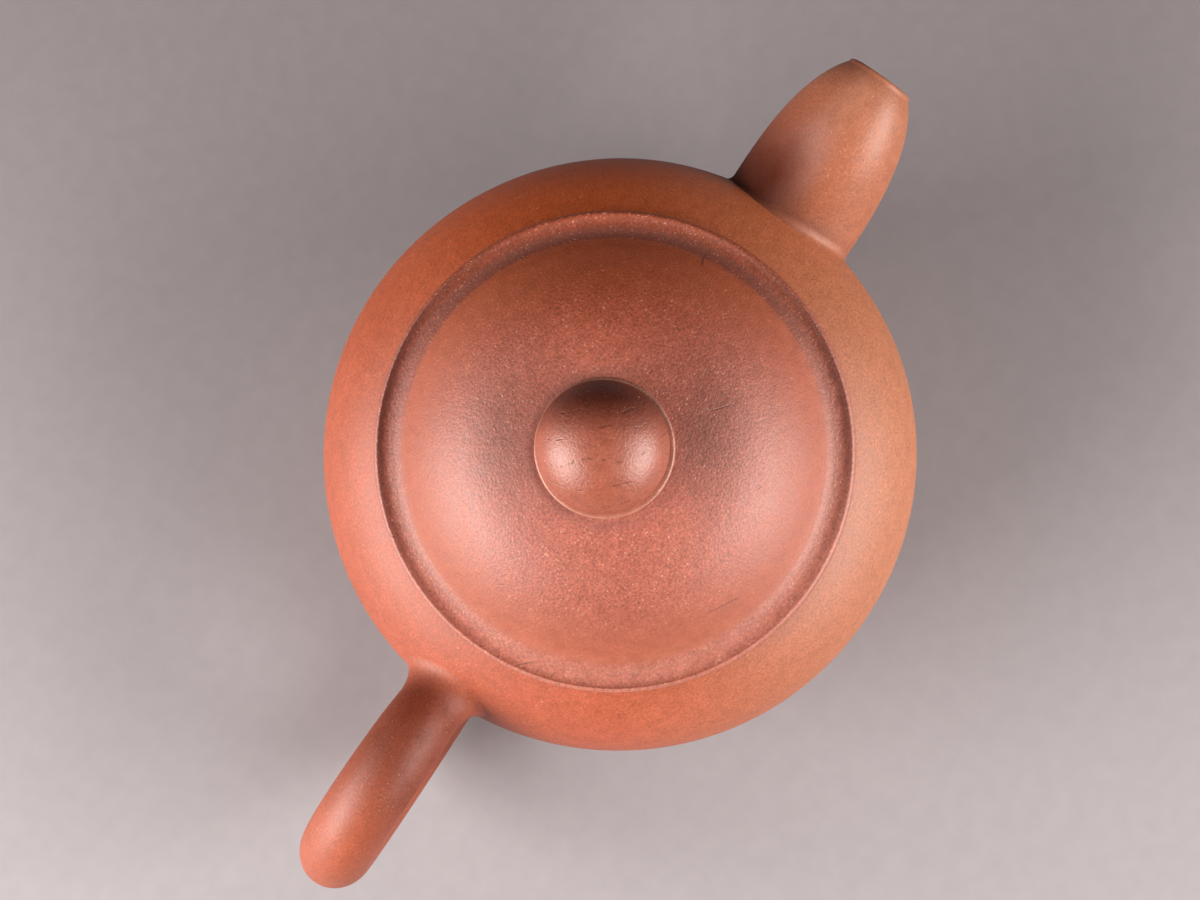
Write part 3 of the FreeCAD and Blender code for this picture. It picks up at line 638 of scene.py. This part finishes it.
# The tread is painted darker towards the picture's top and left, away from the windows
tread_shade = np.clip(TREAD_SHADE + north / SHADE_NORTH - east / SHADE_EAST, 0, SHADE_MOST)
lid_cloud_shade = np.maximum(shade_clouds, tread_shade * (lid_r > DOME_R)) * on_top
lid_band = ramp(lid_r, BAND_FROM, BAND_FULL) * (lid_r < DOME_R) * on_top
lid_cap = make_piece(
    "lid_dome_and_flange", lid_grid, wear=lid_wear_and_light, crease=lid_shade, band=lid_band, smoke=lid_cloud_shade,
    stain=painted_dome_shadow,
)

# %% Bezel
BEZEL_BOTTOM, BEZEL_ROUND, BEZEL_RUB = node_box("lid_bezel")[0][2], 0.7, 0.5
bezel_line = outline(
    arc((BEZEL_IN + BEZEL_ROUND, BEZEL_BOTTOM + BEZEL_ROUND), BEZEL_ROUND, 180, 270, ROUND_STEP),
    arc((BEZEL_R - BEZEL_ROUND, BEZEL_BOTTOM + BEZEL_ROUND), BEZEL_ROUND, 270, 360, ROUND_STEP),
    spot(BEZEL_R, LIP_Z), spot(BEZEL_IN, LIP_Z), ring=True,
)
bezel_wear = near(bezel_line[:, 1] - BEZEL_BOTTOM, BEZEL_RUB)
lid_bezel = make_piece("lid_seat", turned(bezel_line, RING_COLUMNS), ring=True, wear=bezel_wear)

# %% The knob's outline: collar, neck and bead
KNOB_TOP = node_box("knob")[1][2]
BEAD_R, SIDE_R, BEAD_CROWN_R, BEAD_STEP = 7.2, 5.2, 8.2, 0.3
NECK, NECK_BITE, NECK_ROUND_OUT, NECK_ROUND_UP, NECK_FILLET = 4.6, 0.4, 0.7, 0.35, 0.5
COLLAR_R, COLLAR_RISE, COLLAR_ROUND = 7.9, 0.45, 0.3
HUB_SINK, COLLAR_SINK = 0.6, 0.2
COLLAR_STEP, FILLET_STEP = 0.06, 0.08
side_r, crown_z = BEAD_R - SIDE_R, KNOB_TOP - BEAD_CROWN_R
crown_drop = math.sqrt((BEAD_CROWN_R - SIDE_R) ** 2 - side_r ** 2)
bead_meet = math.degrees(math.atan2(crown_drop, side_r))
bead_hub = math.degrees(math.acos(HUB / BEAD_CROWN_R))
neck_dip = -math.degrees(math.acos((NECK + NECK_BITE - side_r) / SIDE_R))
collar_z = crown_level(COLLAR_R) + COLLAR_RISE
neck_z = crown_level(NECK) + COLLAR_RISE + NECK_ROUND_UP
knob_line = outline(
    spot(HUB, crown_level(0) - HUB_SINK), spot(COLLAR_R, crown_level(COLLAR_R) - COLLAR_SINK),
    arc((COLLAR_R - COLLAR_ROUND, collar_z - COLLAR_ROUND), COLLAR_ROUND, 0, 90, COLLAR_STEP),
    arc((NECK + NECK_ROUND_OUT, neck_z), NECK_FILLET, 270, 180, FILLET_STEP),
    arc((side_r, crown_z + crown_drop), SIDE_R, neck_dip, bead_meet, BEAD_STEP),
    arc((0, crown_z), BEAD_CROWN_R, bead_meet, bead_hub, BEAD_STEP), step=BEAD_STEP,
)
print("knob outline:", len(knob_line), "points")

# %% The knob, set a little off centre, with a pale collar, partly rubbed and partly a painted highlight, and painted shade on the neck under the bead
COLLAR_HIGHLIGHT, COLLAR_IN, COLLAR_RUB = 0.6, 0.1, 0.3
SHADE_OUT, SHADE_UP, NECK_SHADE = 0.3, 0.7, 1.3
KNOB_SHIFT = np.array([-0.36, 0.48, 0.0])
knob_r, knob_z = knob_line.T
collar_gap = np.hypot(knob_r - COLLAR_R + COLLAR_IN, knob_z - collar_z + COLLAR_IN)
neck_shade = near(np.hypot(knob_r - NECK - SHADE_OUT, knob_z - crown_level(NECK) - SHADE_UP), NECK_SHADE)
knob_grid = turned(knob_line, RING_COLUMNS) + KNOB_SHIFT
knob = make_piece("lid_knob", knob_grid, wear=COLLAR_HIGHLIGHT * near(collar_gap, COLLAR_RUB), crease=neck_shade)

# %% The vent beside the knob's neck
VENT_R, VENT_X, VENT_DOWN, VENT_UP, VENT_COLUMNS = 0.8, 6.2, 8, 0.6, 32
vent_line = outline(spot(VENT_R, DOME_TOP - VENT_DOWN), spot(VENT_R, DOME_TOP + VENT_UP))
for piece in (lid_cap, knob):
    pierce(piece, make_piece("vent_drill", turned(vent_line, VENT_COLUMNS) + [-VENT_X, 0, 0]))


# %% [markdown]
# ## Clay
#
# Red stoneware fired without glaze: iron gives it its brick red, and the kiln leaves slow drifts from
# orange to tan. Burnishing and years of tea give the skin a satin gloss, while the lid kept more of its
# grit. An image of clay could be wrapped round the pot, but patterns worked out in the material have no
# seams and stay sharp. The same functions make all six clays, because they are one clay worked to
# different finishes.

# %% Colours, scales and nodes
def linear(code):
    """sRGB hex colour as linear red, green, blue and alpha."""
    part = np.array([int(code[i:i + 2], 16) for i in (1, 3, 5)]) / 255
    return (*np.where(part <= 0.04045, part / 12.92, ((part + 0.055) / 1.055) ** 2.4), 1.0)


def per_metre(size):
    """Scale of a pattern whose marks are a size in millimetres apart."""
    return 1000 / size


def add_node(tree, kind, inputs, out=0, **settings):
    """Adds a shader node with its settings and gives one of its outputs. An input is a value or another
    output, by its name or number: a map range takes value, from, from, to, to as 0 to 4, and a mix of
    colours its share as 0 and the colours as 6 and 7."""
    node = tree.nodes.new("ShaderNode" + kind)
    for key, value in settings.items():
        setattr(node, key, value)
    for key, value in inputs.items():
        if isinstance(value, bpy.types.NodeSocket):
            tree.links.new(value, node.inputs[key])
        else:
            node.inputs[key].default_value = value
    return node.outputs[out]


# %% [markdown]
# ### What the clay is mixed by
#
# The clay's colour drifts slowly over the pot, is mottled at a millimetre or two, and sparkles with grit.
# One noise with many octaves could give all of these, but each has a strength of its own here, so each is
# a noise of its own size. The marks that the skins carry come in as attributes. The picture's right says
# which side of the kiln a place faced, and its top the side away from the windows, where shade is painted.

# %% Noises, places and marks
# Each noise's size in millimetres and detail; real grit is finer, and drawn coarse enough to show
NOISES = {"slow": (22, 3.0), "mottle": (1.6, 4.0), "fine": (0.3, 2.0), "grit": (0.25, 0.0)}
# Besides real soil, wear and tea stain, these marks carry painted shade and painted highlights; one of them
# holds only painted shade
MARKS = ("crease", "wear", "stain", "smoke", "band")
# A noise lies between these two values almost everywhere
SWING = {1: 0.3, 2: 0.7}


def clay_fields(tree, spacing):
    """The noises, with one of patches half a spacing wide, the places to the east and north (the point
    times each direction), and the marks."""
    place = add_node(tree, "TexCoord", {}, "Object")
    fields = {"place": place}
    for name, (size, detail) in (*NOISES.items(), ("patch", (0.5 * spacing, 1.0))):
        noise = {"Vector": place, "Scale": per_metre(size), "Detail": detail}
        fields[name] = add_node(tree, "TexNoise", noise, "Fac")
    for name, way in (("east", EAST), ("north", NORTH)):
        along = {0: place, 1: (*way, 0.0)}
        fields[name] = add_node(tree, "VectorMath", along, "Value", operation="DOT_PRODUCT")
    for mark in MARKS:
        fields[mark] = add_node(tree, "Attribute", {}, "Fac", attribute_name=mark)
    return SimpleNamespace(**fields)


# %% [markdown]
# ### Kiln colours
#
# The flame reaches one side of a pot more than the other, and tea darkens it with use. Shade is painted in
# too: a darker, redder colour on the side away from the windows, dark clouds on the lid, and some shade
# within the tea stain. Each of these is a thin coat, so the colour is built as coats: every coat is a cover
# from 0 to 1 and a paint, mixed over the last one. A colour ramp could hold the paints, but coats can each
# follow a mark of their own.

# %% The clay's colour before its grit
# The tea-brown coat paints tea stain and some painted shade; the purple-brown coat is painted shade only
BURNISHED, STAIN_AND_SHADE_BROWN, SHADE_TONE = "#A6502A", "#6E2604", "#5C2B22"
TAN_REACH, FAR_SHADE_COVER, BAND_COVER = 36, 0.9, 0.4
DRIFT = {1: 0.35, 2: 0.65, 3: 0.0, 4: 0.8}
CLOUD = {**SWING, 3: 0.7, 4: 1.0}
MOTTLING = {**SWING, 3: 0.92, 4: 1.08}


def kiln_color(tree, at, red, deep, tan, tan_share, far_shade_range, far_shade):
    """Red drifts to deep; the far shade, a painted shade, comes in over its range to the north, away from
    the windows, and tan over TAN_REACH to the east, in millimetres; then come the burnished band, tea stain
    with some painted shade, and clouds of painted shade. Mottling shades it all by a few hundredths."""
    north_range = {1: far_shade_range[0] * MM, 2: far_shade_range[1] * MM, 3: 0.0, 4: FAR_SHADE_COVER}
    drift = add_node(tree, "MapRange", {0: at.slow, **DRIFT})
    far_shaded = add_node(tree, "MapRange", {0: at.north, **north_range})
    tanned = add_node(tree, "MapRange", {0: at.east, 1: 0.0, 2: TAN_REACH * MM, 3: 0.0, 4: tan_share})
    banded = add_node(tree, "Math", {0: at.band, 1: BAND_COVER}, operation="MULTIPLY")
    cloud = add_node(tree, "MapRange", {0: at.mottle, **CLOUD})
    stained = add_node(tree, "Math", {0: at.stain, 1: cloud}, operation="MULTIPLY")
    color = linear(red)
    for cover, paint in (
        (drift, deep), (far_shaded, far_shade), (tanned, tan),
        (banded, BURNISHED), (stained, STAIN_AND_SHADE_BROWN), (at.smoke, SHADE_TONE),
    ):
        color = add_node(tree, "Mix", {0: cover, 6: color, 7: linear(paint)}, 2, data_type="RGBA")
    shade = add_node(tree, "MapRange", {0: at.mottle, **MOTTLING})
    return add_node(tree, "VectorMath", {0: color, "Scale": shade}, operation="SCALE")


# %% [markdown]
# ### Grit, scratches, wear and painted light
#
# Crushed ore in the clay shows as dark and pale grains, thinned out where the lid is burnished. Hairline
# scratches come from years of wiping. The edges of a Voronoi texture could draw them, but those branch like
# cracks, so the scratches are the crests of a bent wave, shown in patches. Soil in the creases, with painted
# shade in creases and shadows, and chalky wear on the edges, with painted highlights, lie over the grains.

# %% The clay's grit and its relief
# The soil colour also paints shade, and the chalky wear colour also paints highlights
DARK_GRAIN, SOIL_AND_SHADE_BROWN, WEAR_AND_HIGHLIGHT_PALE = "#4A1C12", "#541C08", "#DDA58C"
# Where grains start in the noise, how much sooner they do with more specks, their fade and their cover
PALE_FROM, PALE_GAIN, PALE_FADE, PALE_COVER = 0.80, 0.11, 0.14, 0.5
DARK_FROM, DARK_GAIN, DARK_FADE, DARK_COVER = 0.20, 0.09, 0.12, 0.6
SOWN = {1: 0.4, 2: 0.62, 3: 0.35, 4: 1.0}
FINE_SHADE, GRAIN_RISE, BAND_RUB = 0.3, 1.2, 0.65
# The same for scratches, then their soft edge and core in millimetres, and their bend
HAIR_FROM, HAIR_GAIN, HAIR_FADE, HAIR_COVER = 0.66, 0.12, 0.08, 0.5
HAIR_SOFT, HAIR_CORE = 0.30, 0.08
HAIR_BEND = {"Distortion": 9.0, "Detail": 1.0, "Detail Scale": 0.6}
DARK_COAT_COVER = 0.6
CHALK = {1: 0.35, 2: 0.65, 3: 0.4, 4: 0.65}
# A wave texture's crests lie this far apart at a scale of 1
WAVE_TURN = 2 * math.pi / 20


def gritty(tree, at, smooth, dust, specks, spacing, share):
    """Colour with grains, scratches, soil and painted shade, and wear and painted highlights coated over the
    smooth colour, and the height of its relief: fine noise + mottling + rise * pale grains - scratches. A
    scratch is where a wave is nearest to its crest."""
    swing = FINE_SHADE * specks
    shade = add_node(tree, "MapRange", {0: at.fine, **SWING, 3: 1 - swing, 4: 1 + swing})
    color = add_node(tree, "VectorMath", {0: smooth, "Scale": shade}, operation="SCALE")
    dark_from, pale_from = DARK_FROM + DARK_GAIN * specks, PALE_FROM - PALE_GAIN * specks
    dark_range = {1: dark_from, 2: dark_from - DARK_FADE, 3: 0.0, 4: DARK_COVER}
    pale_range = {1: pale_from, 2: pale_from + PALE_FADE, 3: 0.0, 4: PALE_COVER}
    dark, pale = (add_node(tree, "MapRange", {0: at.grit, **ends}) for ends in (dark_range, pale_range))
    sown = add_node(tree, "MapRange", {0: at.mottle, **SOWN})
    pale = add_node(tree, "Math", {0: pale, 1: sown}, operation="MULTIPLY")
    rub = add_node(tree, "Math", {0: at.band, 1: BAND_RUB}, operation="MULTIPLY")

    crests = {"Vector": at.place, "Scale": per_metre(spacing) * WAVE_TURN, **HAIR_BEND}
    wave = add_node(tree, "TexWave", crests, "Fac", bands_direction="DIAGONAL")
    soft, core = 1 - (HAIR_SOFT / spacing) ** 2, 1 - (HAIR_CORE / spacing) ** 2
    hair = add_node(tree, "MapRange", {0: wave, 1: soft, 2: core})
    hair_from = HAIR_FROM - HAIR_GAIN * share
    patch_range = {1: hair_from, 2: hair_from + HAIR_FADE, 3: 0.0, 4: HAIR_COVER}
    here = add_node(tree, "MapRange", {0: at.patch, **patch_range})
    hair = add_node(tree, "Math", {0: hair, 1: here}, operation="MULTIPLY")

    dark_coat = add_node(tree, "Math", {0: at.crease, 1: DARK_COAT_COVER}, operation="MULTIPLY")
    chalk = add_node(tree, "MapRange", {0: at.mottle, **CHALK})
    pale_coat = add_node(tree, "Math", {0: at.wear, 1: chalk}, operation="MULTIPLY")
    for cover, paint in (
        (dark, linear(DARK_GRAIN)), (pale, linear(dust)), (rub, smooth),
        (hair, linear(DARK_GRAIN)), (dark_coat, linear(SOIL_AND_SHADE_BROWN)), (pale_coat, linear(WEAR_AND_HIGHLIGHT_PALE)),
    ):
        color = add_node(tree, "Mix", {0: cover, 6: color, 7: paint}, 2, data_type="RGBA")
    height = add_node(tree, "Math", {0: pale, 1: GRAIN_RISE, 2: at.fine}, operation="MULTIPLY_ADD")
    height = add_node(tree, "Math", {0: height, 1: at.mottle}, operation="ADD")
    return color, add_node(tree, "Math", {0: height, 1: hair}, operation="SUBTRACT")


# %% [markdown]
# ### The finished clays
#
# Burnishing presses the skin smooth, so it shines like satin; soil and stains dull it again, and so do the
# marks of painted shade that they carry. A clear coat could give that shine, but there is no glaze on the
# clay, so its own gloss is used: stoneware's index of refraction is about that of glass, and the gloss is
# a little warm, because the red clay shows through it.

# %% The clay as a material
CLAY_IOR, GLOSS_TINT = 1.55, "#FFE9E2"
GLOSSIER, DULLER = 0.02, 0.03
DULLING = {"crease": 0.35, "band": 0.08, "stain": 0.06}


def fired_clay(name, red, deep, tan, dust, tan_share, far_shade_range, far_shade, specks, grain, rough, shine, hairlines):
    """Unglazed stoneware. Red and deep are its mottled colours and tan its kiln drift; dust is the pale
    grit. The far shade is a darker colour painted as shade on the side away from the windows, and its range
    says where it starts and ends to the north; specks give the share of grit that shows, grain the height of
    the grit, shine the strength of its gloss and hairlines the spacing and share of its scratches; all
    lengths are in millimetres."""
    clay = bpy.data.materials.new(name)
    clay.use_nodes = True
    tree = clay.node_tree
    at = clay_fields(tree, hairlines[0])
    smooth = kiln_color(tree, at, red, deep, tan, tan_share, far_shade_range, far_shade)
    color, height = gritty(tree, at, smooth, dust, specks, *hairlines)
    gloss = add_node(tree, "MapRange", {0: at.mottle, **SWING, 3: rough - GLOSSIER, 4: rough + DULLER})
    for mark, matt in DULLING.items():
        gloss = add_node(tree, "Math", {0: getattr(at, mark), 1: matt, 2: gloss}, operation="MULTIPLY_ADD")
    bump = add_node(tree, "Bump", {"Strength": 1.0, "Distance": grain * MM, "Height": height})
    shader = tree.nodes["Principled BSDF"]
    for socket, value in (("Base Color", color), ("Roughness", gloss), ("Normal", bump)):
        tree.links.new(value, shader.inputs[socket])
    shader.inputs["IOR"].default_value = CLAY_IOR
    shader.inputs["Specular IOR Level"].default_value = shine
    shader.inputs["Specular Tint"].default_value = linear(GLOSS_TINT)
    print("clay:", name)
    return clay


# %% Six finishes of the same clay
# On every clay the far-shade colour is painted shade, laid on the side away from the windows; on the knob it
# is almost black
# Burnished: smooth and satin, orange red, drifting to tan on the picture's right
pot_clay = fired_clay(
    "burnished_red_stoneware", "#B05538", "#9F4729", "#AE6F4B", "#D9A184", tan_share=0.75, far_shade_range=(2, 40),
    far_shade="#A84400", specks=0.7, grain=0.02, rough=0.56, shine=0.75, hairlines=(40, 0.0),
)
# Rubbed by the palm and steeped in spilt tea: darker patches under a low gloss, with fine scratches
handle_clay = fired_clay(
    "palm_worn_red_stoneware", "#B05A3E", "#A04A2E", "#AD6E48", "#D9A184", tan_share=0.0, far_shade_range=(50, 60),
    far_shade="#A84400", specks=0.6, grain=0.03, rough=0.53, shine=0.65, hairlines=(6, 0.5),
)
# The spout came out of the kiln browner, and its burnish gives it broad soft highlights
spout_clay = fired_clay(
    "burnished_brown_stoneware", "#AC5F45", "#92482A", "#A86A46", "#D9A184", tan_share=0.5, far_shade_range=(50, 60),
    far_shade="#8A4418", specks=0.6, grain=0.03, rough=0.48, shine=0.66, hairlines=(40, 0.0),
)
# The lid's clay is grittier and fired a little more purple: pale and dark grains sparkle in its gloss
lid_clay = fired_clay(
    "gritty_red_stoneware", "#AE5D49", "#9E4F3D", "#AC614B", "#E4B292", tan_share=0.3, far_shade_range=(9, 21),
    far_shade="#8E3602", specks=1.0, grain=0.045, rough=0.51, shine=0.86, hairlines=(11, 0.8),
)
# The knob is polished by every hand, so it has the clearest highlights, and the most scratches
knob_clay = fired_clay(
    "polished_red_stoneware", "#A0543E", "#90452F", "#A0543E", "#D9A184", tan_share=0.3, far_shade_range=(1.0, 5.0),
    far_shade="#480E00", specks=0.5, grain=0.05, rough=0.45, shine=0.85, hairlines=(2.0, 1.2),
)
# Inside, the clay is scraped but not burnished: paler, rough and matt
inner_clay = fired_clay(
    "scraped_red_stoneware", "#AD6A4C", "#9C5A3E", "#AF7452", "#D2A08A", tan_share=0.3, far_shade_range=(60, 70),
    far_shade="#9C5A3E", specks=0.8, grain=0.06, rough=0.72, shine=0.5, hairlines=(9, 0.3),
)

# %% [markdown]
# ## Putting it together
#
# Every skin takes its clay, rides on its body and stands for the nodes it covers. The wall's inner faces
# take the scraped clay; a second skin inside could do that too, but two materials on one closed skin leave
# no gap. The strainer keeps its solid, which already has its seventeen holes, and takes the scraped clay.

# %% Clay, bodies and nodes
for piece, clay, body, slot, nodes in (
    (pot_wall, pot_clay, "pot", "pot_clay", ("belly_wall", "shoulder_ring")),
    (base_disc, inner_clay, "pot", "pot_clay", ("base_disc",)),
    (foot_ring, pot_clay, "pot", "pot_clay", ("foot_ring",)),
    (mouth_ring, pot_clay, "pot", "pot_clay", ("mouth_ring",)),
    (spout, spout_clay, "pot", "pot_clay", ("spout",)),
    (handle, handle_clay, "pot", "pot_clay", ("handle",)),
    (lid_cap, lid_clay, "lid", "lid_clay", ("lid_dome", "lid_flange")),
    (lid_bezel, inner_clay, "lid", "inner_clay", ("lid_bezel",)),
    (knob, knob_clay, "lid", "knob_clay", ("knob",)),
):
    piece.data.materials.clear()
    piece.data.materials.append(clay)
    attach(piece, body)
    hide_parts(*nodes)
    print(f"{piece.name} rides on {body} in {clay.name}")

# %% Scraped clay inside
MOUTH_SLACK, NECK_SLACK, INNER_SHARE = 0.4, 0.5, 0.7
pot_wall.data.materials.append(inner_clay)
centers = np.empty(3 * len(pot_wall.data.polygons))
pot_wall.data.polygons.foreach_get("center", centers)
x, y, level = centers.reshape(-1, 3).T / MM
at_mouth = level > INNER_NECK_Z - NECK_SLACK
inner_r = np.where(at_mouth, MOUTH_R + MOUTH_SLACK, wall_radius(level) - INNER_SHARE * WALL)
scraped = np.hypot(x, y) < inner_r
pot_wall.data.polygons.foreach_set("material_index", scraped.astype(np.int32))
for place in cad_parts["strainer"].material_slots:
    place.material = inner_clay
print("scraped faces:", int(scraped.sum()))


# %% [markdown]
# ## Floor, light and camera
#
# The pot stands on plain grey paper. Two broad soft windows light it from low in front, one on each side,
# and a dim room fills the rest, so the far side falls into a warm shadow. One lamp overhead would be
# simpler, but the lid and the knob show two broad highlights, one from each window. The camera looks almost
# straight down, turned so that the spout points up to the right.

# %% Floor
FLOOR, FIBRE, FIBRE_DETAIL, FALLOFF_REACH, PAPER_ROUGH = 1.5, 3, 4.0, 70, 0.8
PAPER_MOTTLE = {**SWING, 3: 0.97, 4: 1.03}
NEAR_GREY, FAR_SHADE_GREY = "#9D9494", "#827878"
corners = [(-FLOOR, -FLOOR, 0), (FLOOR, -FLOOR, 0), (FLOOR, FLOOR, 0), (-FLOOR, FLOOR, 0)]
floor_mesh = bpy.data.meshes.new("floor")
floor_mesh.from_pydata(corners, [], [(0, 1, 2, 3)])
floor = bpy.data.objects.new("floor", floor_mesh)
bpy.context.scene.collection.objects.link(floor)
# Matt grey paper: its fibres give a faint mottle, and painted shade makes its tone fall off towards the
# picture's top, away from the windows
paper = bpy.data.materials.new("grey_paper")
paper.use_nodes = True
tree = paper.node_tree
place = add_node(tree, "TexCoord", {}, "Object")
noise = {"Vector": place, "Scale": per_metre(FIBRE), "Detail": FIBRE_DETAIL}
fibre = add_node(tree, "TexNoise", noise, "Fac")
north = add_node(tree, "VectorMath", {0: place, 1: (*NORTH, 0.0)}, "Value", operation="DOT_PRODUCT")
painted_falloff = add_node(tree, "MapRange", {0: north, 1: -FALLOFF_REACH * MM, 2: FALLOFF_REACH * MM})
greys = {6: linear(NEAR_GREY), 7: linear(FAR_SHADE_GREY)}
tone = add_node(tree, "Mix", {0: painted_falloff, **greys}, 2, data_type="RGBA")
shade = add_node(tree, "MapRange", {0: fibre, **PAPER_MOTTLE})
tone = add_node(tree, "VectorMath", {0: tone, "Scale": shade}, operation="SCALE")
shader = tree.nodes["Principled BSDF"]
tree.links.new(tone, shader.inputs["Base Color"])
shader.inputs["Roughness"].default_value = PAPER_ROUGH
floor_mesh.materials.append(paper)
print(f"floor {2 * FLOOR:.1f} m wide")

# %% Camera
CAMERA_AT = Vector((4.66, -3.44, 185.0)) * MM
SWAY_X, SWAY_Y, SWAY_Z = 0.0245, 0.0434, 0.0002
# The focal length and the picture's width, both in its pixels
FOCAL, PICTURE_WIDTH = 1191.3, 1200
upright = Matrix.Rotation(-TILT, 4, "Z")
sway = Matrix.Rotation(SWAY_Z, 4, "Z") @ Matrix.Rotation(SWAY_Y, 4, "Y") @ Matrix.Rotation(SWAY_X, 4, "X")
lens = bpy.data.cameras.new("camera")
lens.sensor_width = 36.0
lens.lens = lens.sensor_width * FOCAL / PICTURE_WIDTH
lens.clip_start = 0.01
camera = bpy.data.objects.new("camera", lens)
camera.matrix_world = upright @ Matrix.Translation(CAMERA_AT) @ sway
bpy.context.scene.collection.objects.link(camera)
bpy.context.scene.camera = camera
print("camera at", [round(v, 4) for v in camera.matrix_world.translation])

# %% Light
WINDOW_SIZE, WINDOW_DISTANCE = (0.42, 0.23), 0.48
ROOM_COLOR, ROOM_STRENGTH = "#C98A70", 0.035


def window(name, bearing, height, power):
    """Soft rectangular light, at a bearing anticlockwise from the picture's right and a height, both in
    degrees, aimed at the pot's axis, level with its shoulder."""
    lamp = bpy.data.lights.new(name, "AREA")
    lamp.shape, lamp.size, lamp.size_y, lamp.energy = "RECTANGLE", *WINDOW_SIZE, power
    light = bpy.data.objects.new(name, lamp)
    turn, rise = math.radians(bearing) - TILT, math.radians(height)
    way = Vector((math.cos(turn) * math.cos(rise), math.sin(turn) * math.cos(rise), math.sin(rise)))
    light.location = way * WINDOW_DISTANCE + Vector((0, 0, SHOULDER_Z * MM))
    light.rotation_euler = (-way).to_track_quat("-Z", "Y").to_euler()
    bpy.context.scene.collection.objects.link(light)
    print(f"{name}: {power} W from {bearing} degrees")


window("left_window", bearing=199, height=27, power=4.6)
window("right_window", bearing=344, height=26, power=3.95)
world = bpy.data.worlds.new("room")
world.use_nodes = True
room = world.node_tree.nodes["Background"]
room.inputs["Color"].default_value = linear(ROOM_COLOR)
room.inputs["Strength"].default_value = ROOM_STRENGTH
bpy.context.scene.world = world
bpy.context.scene.view_settings.view_transform = "Standard"
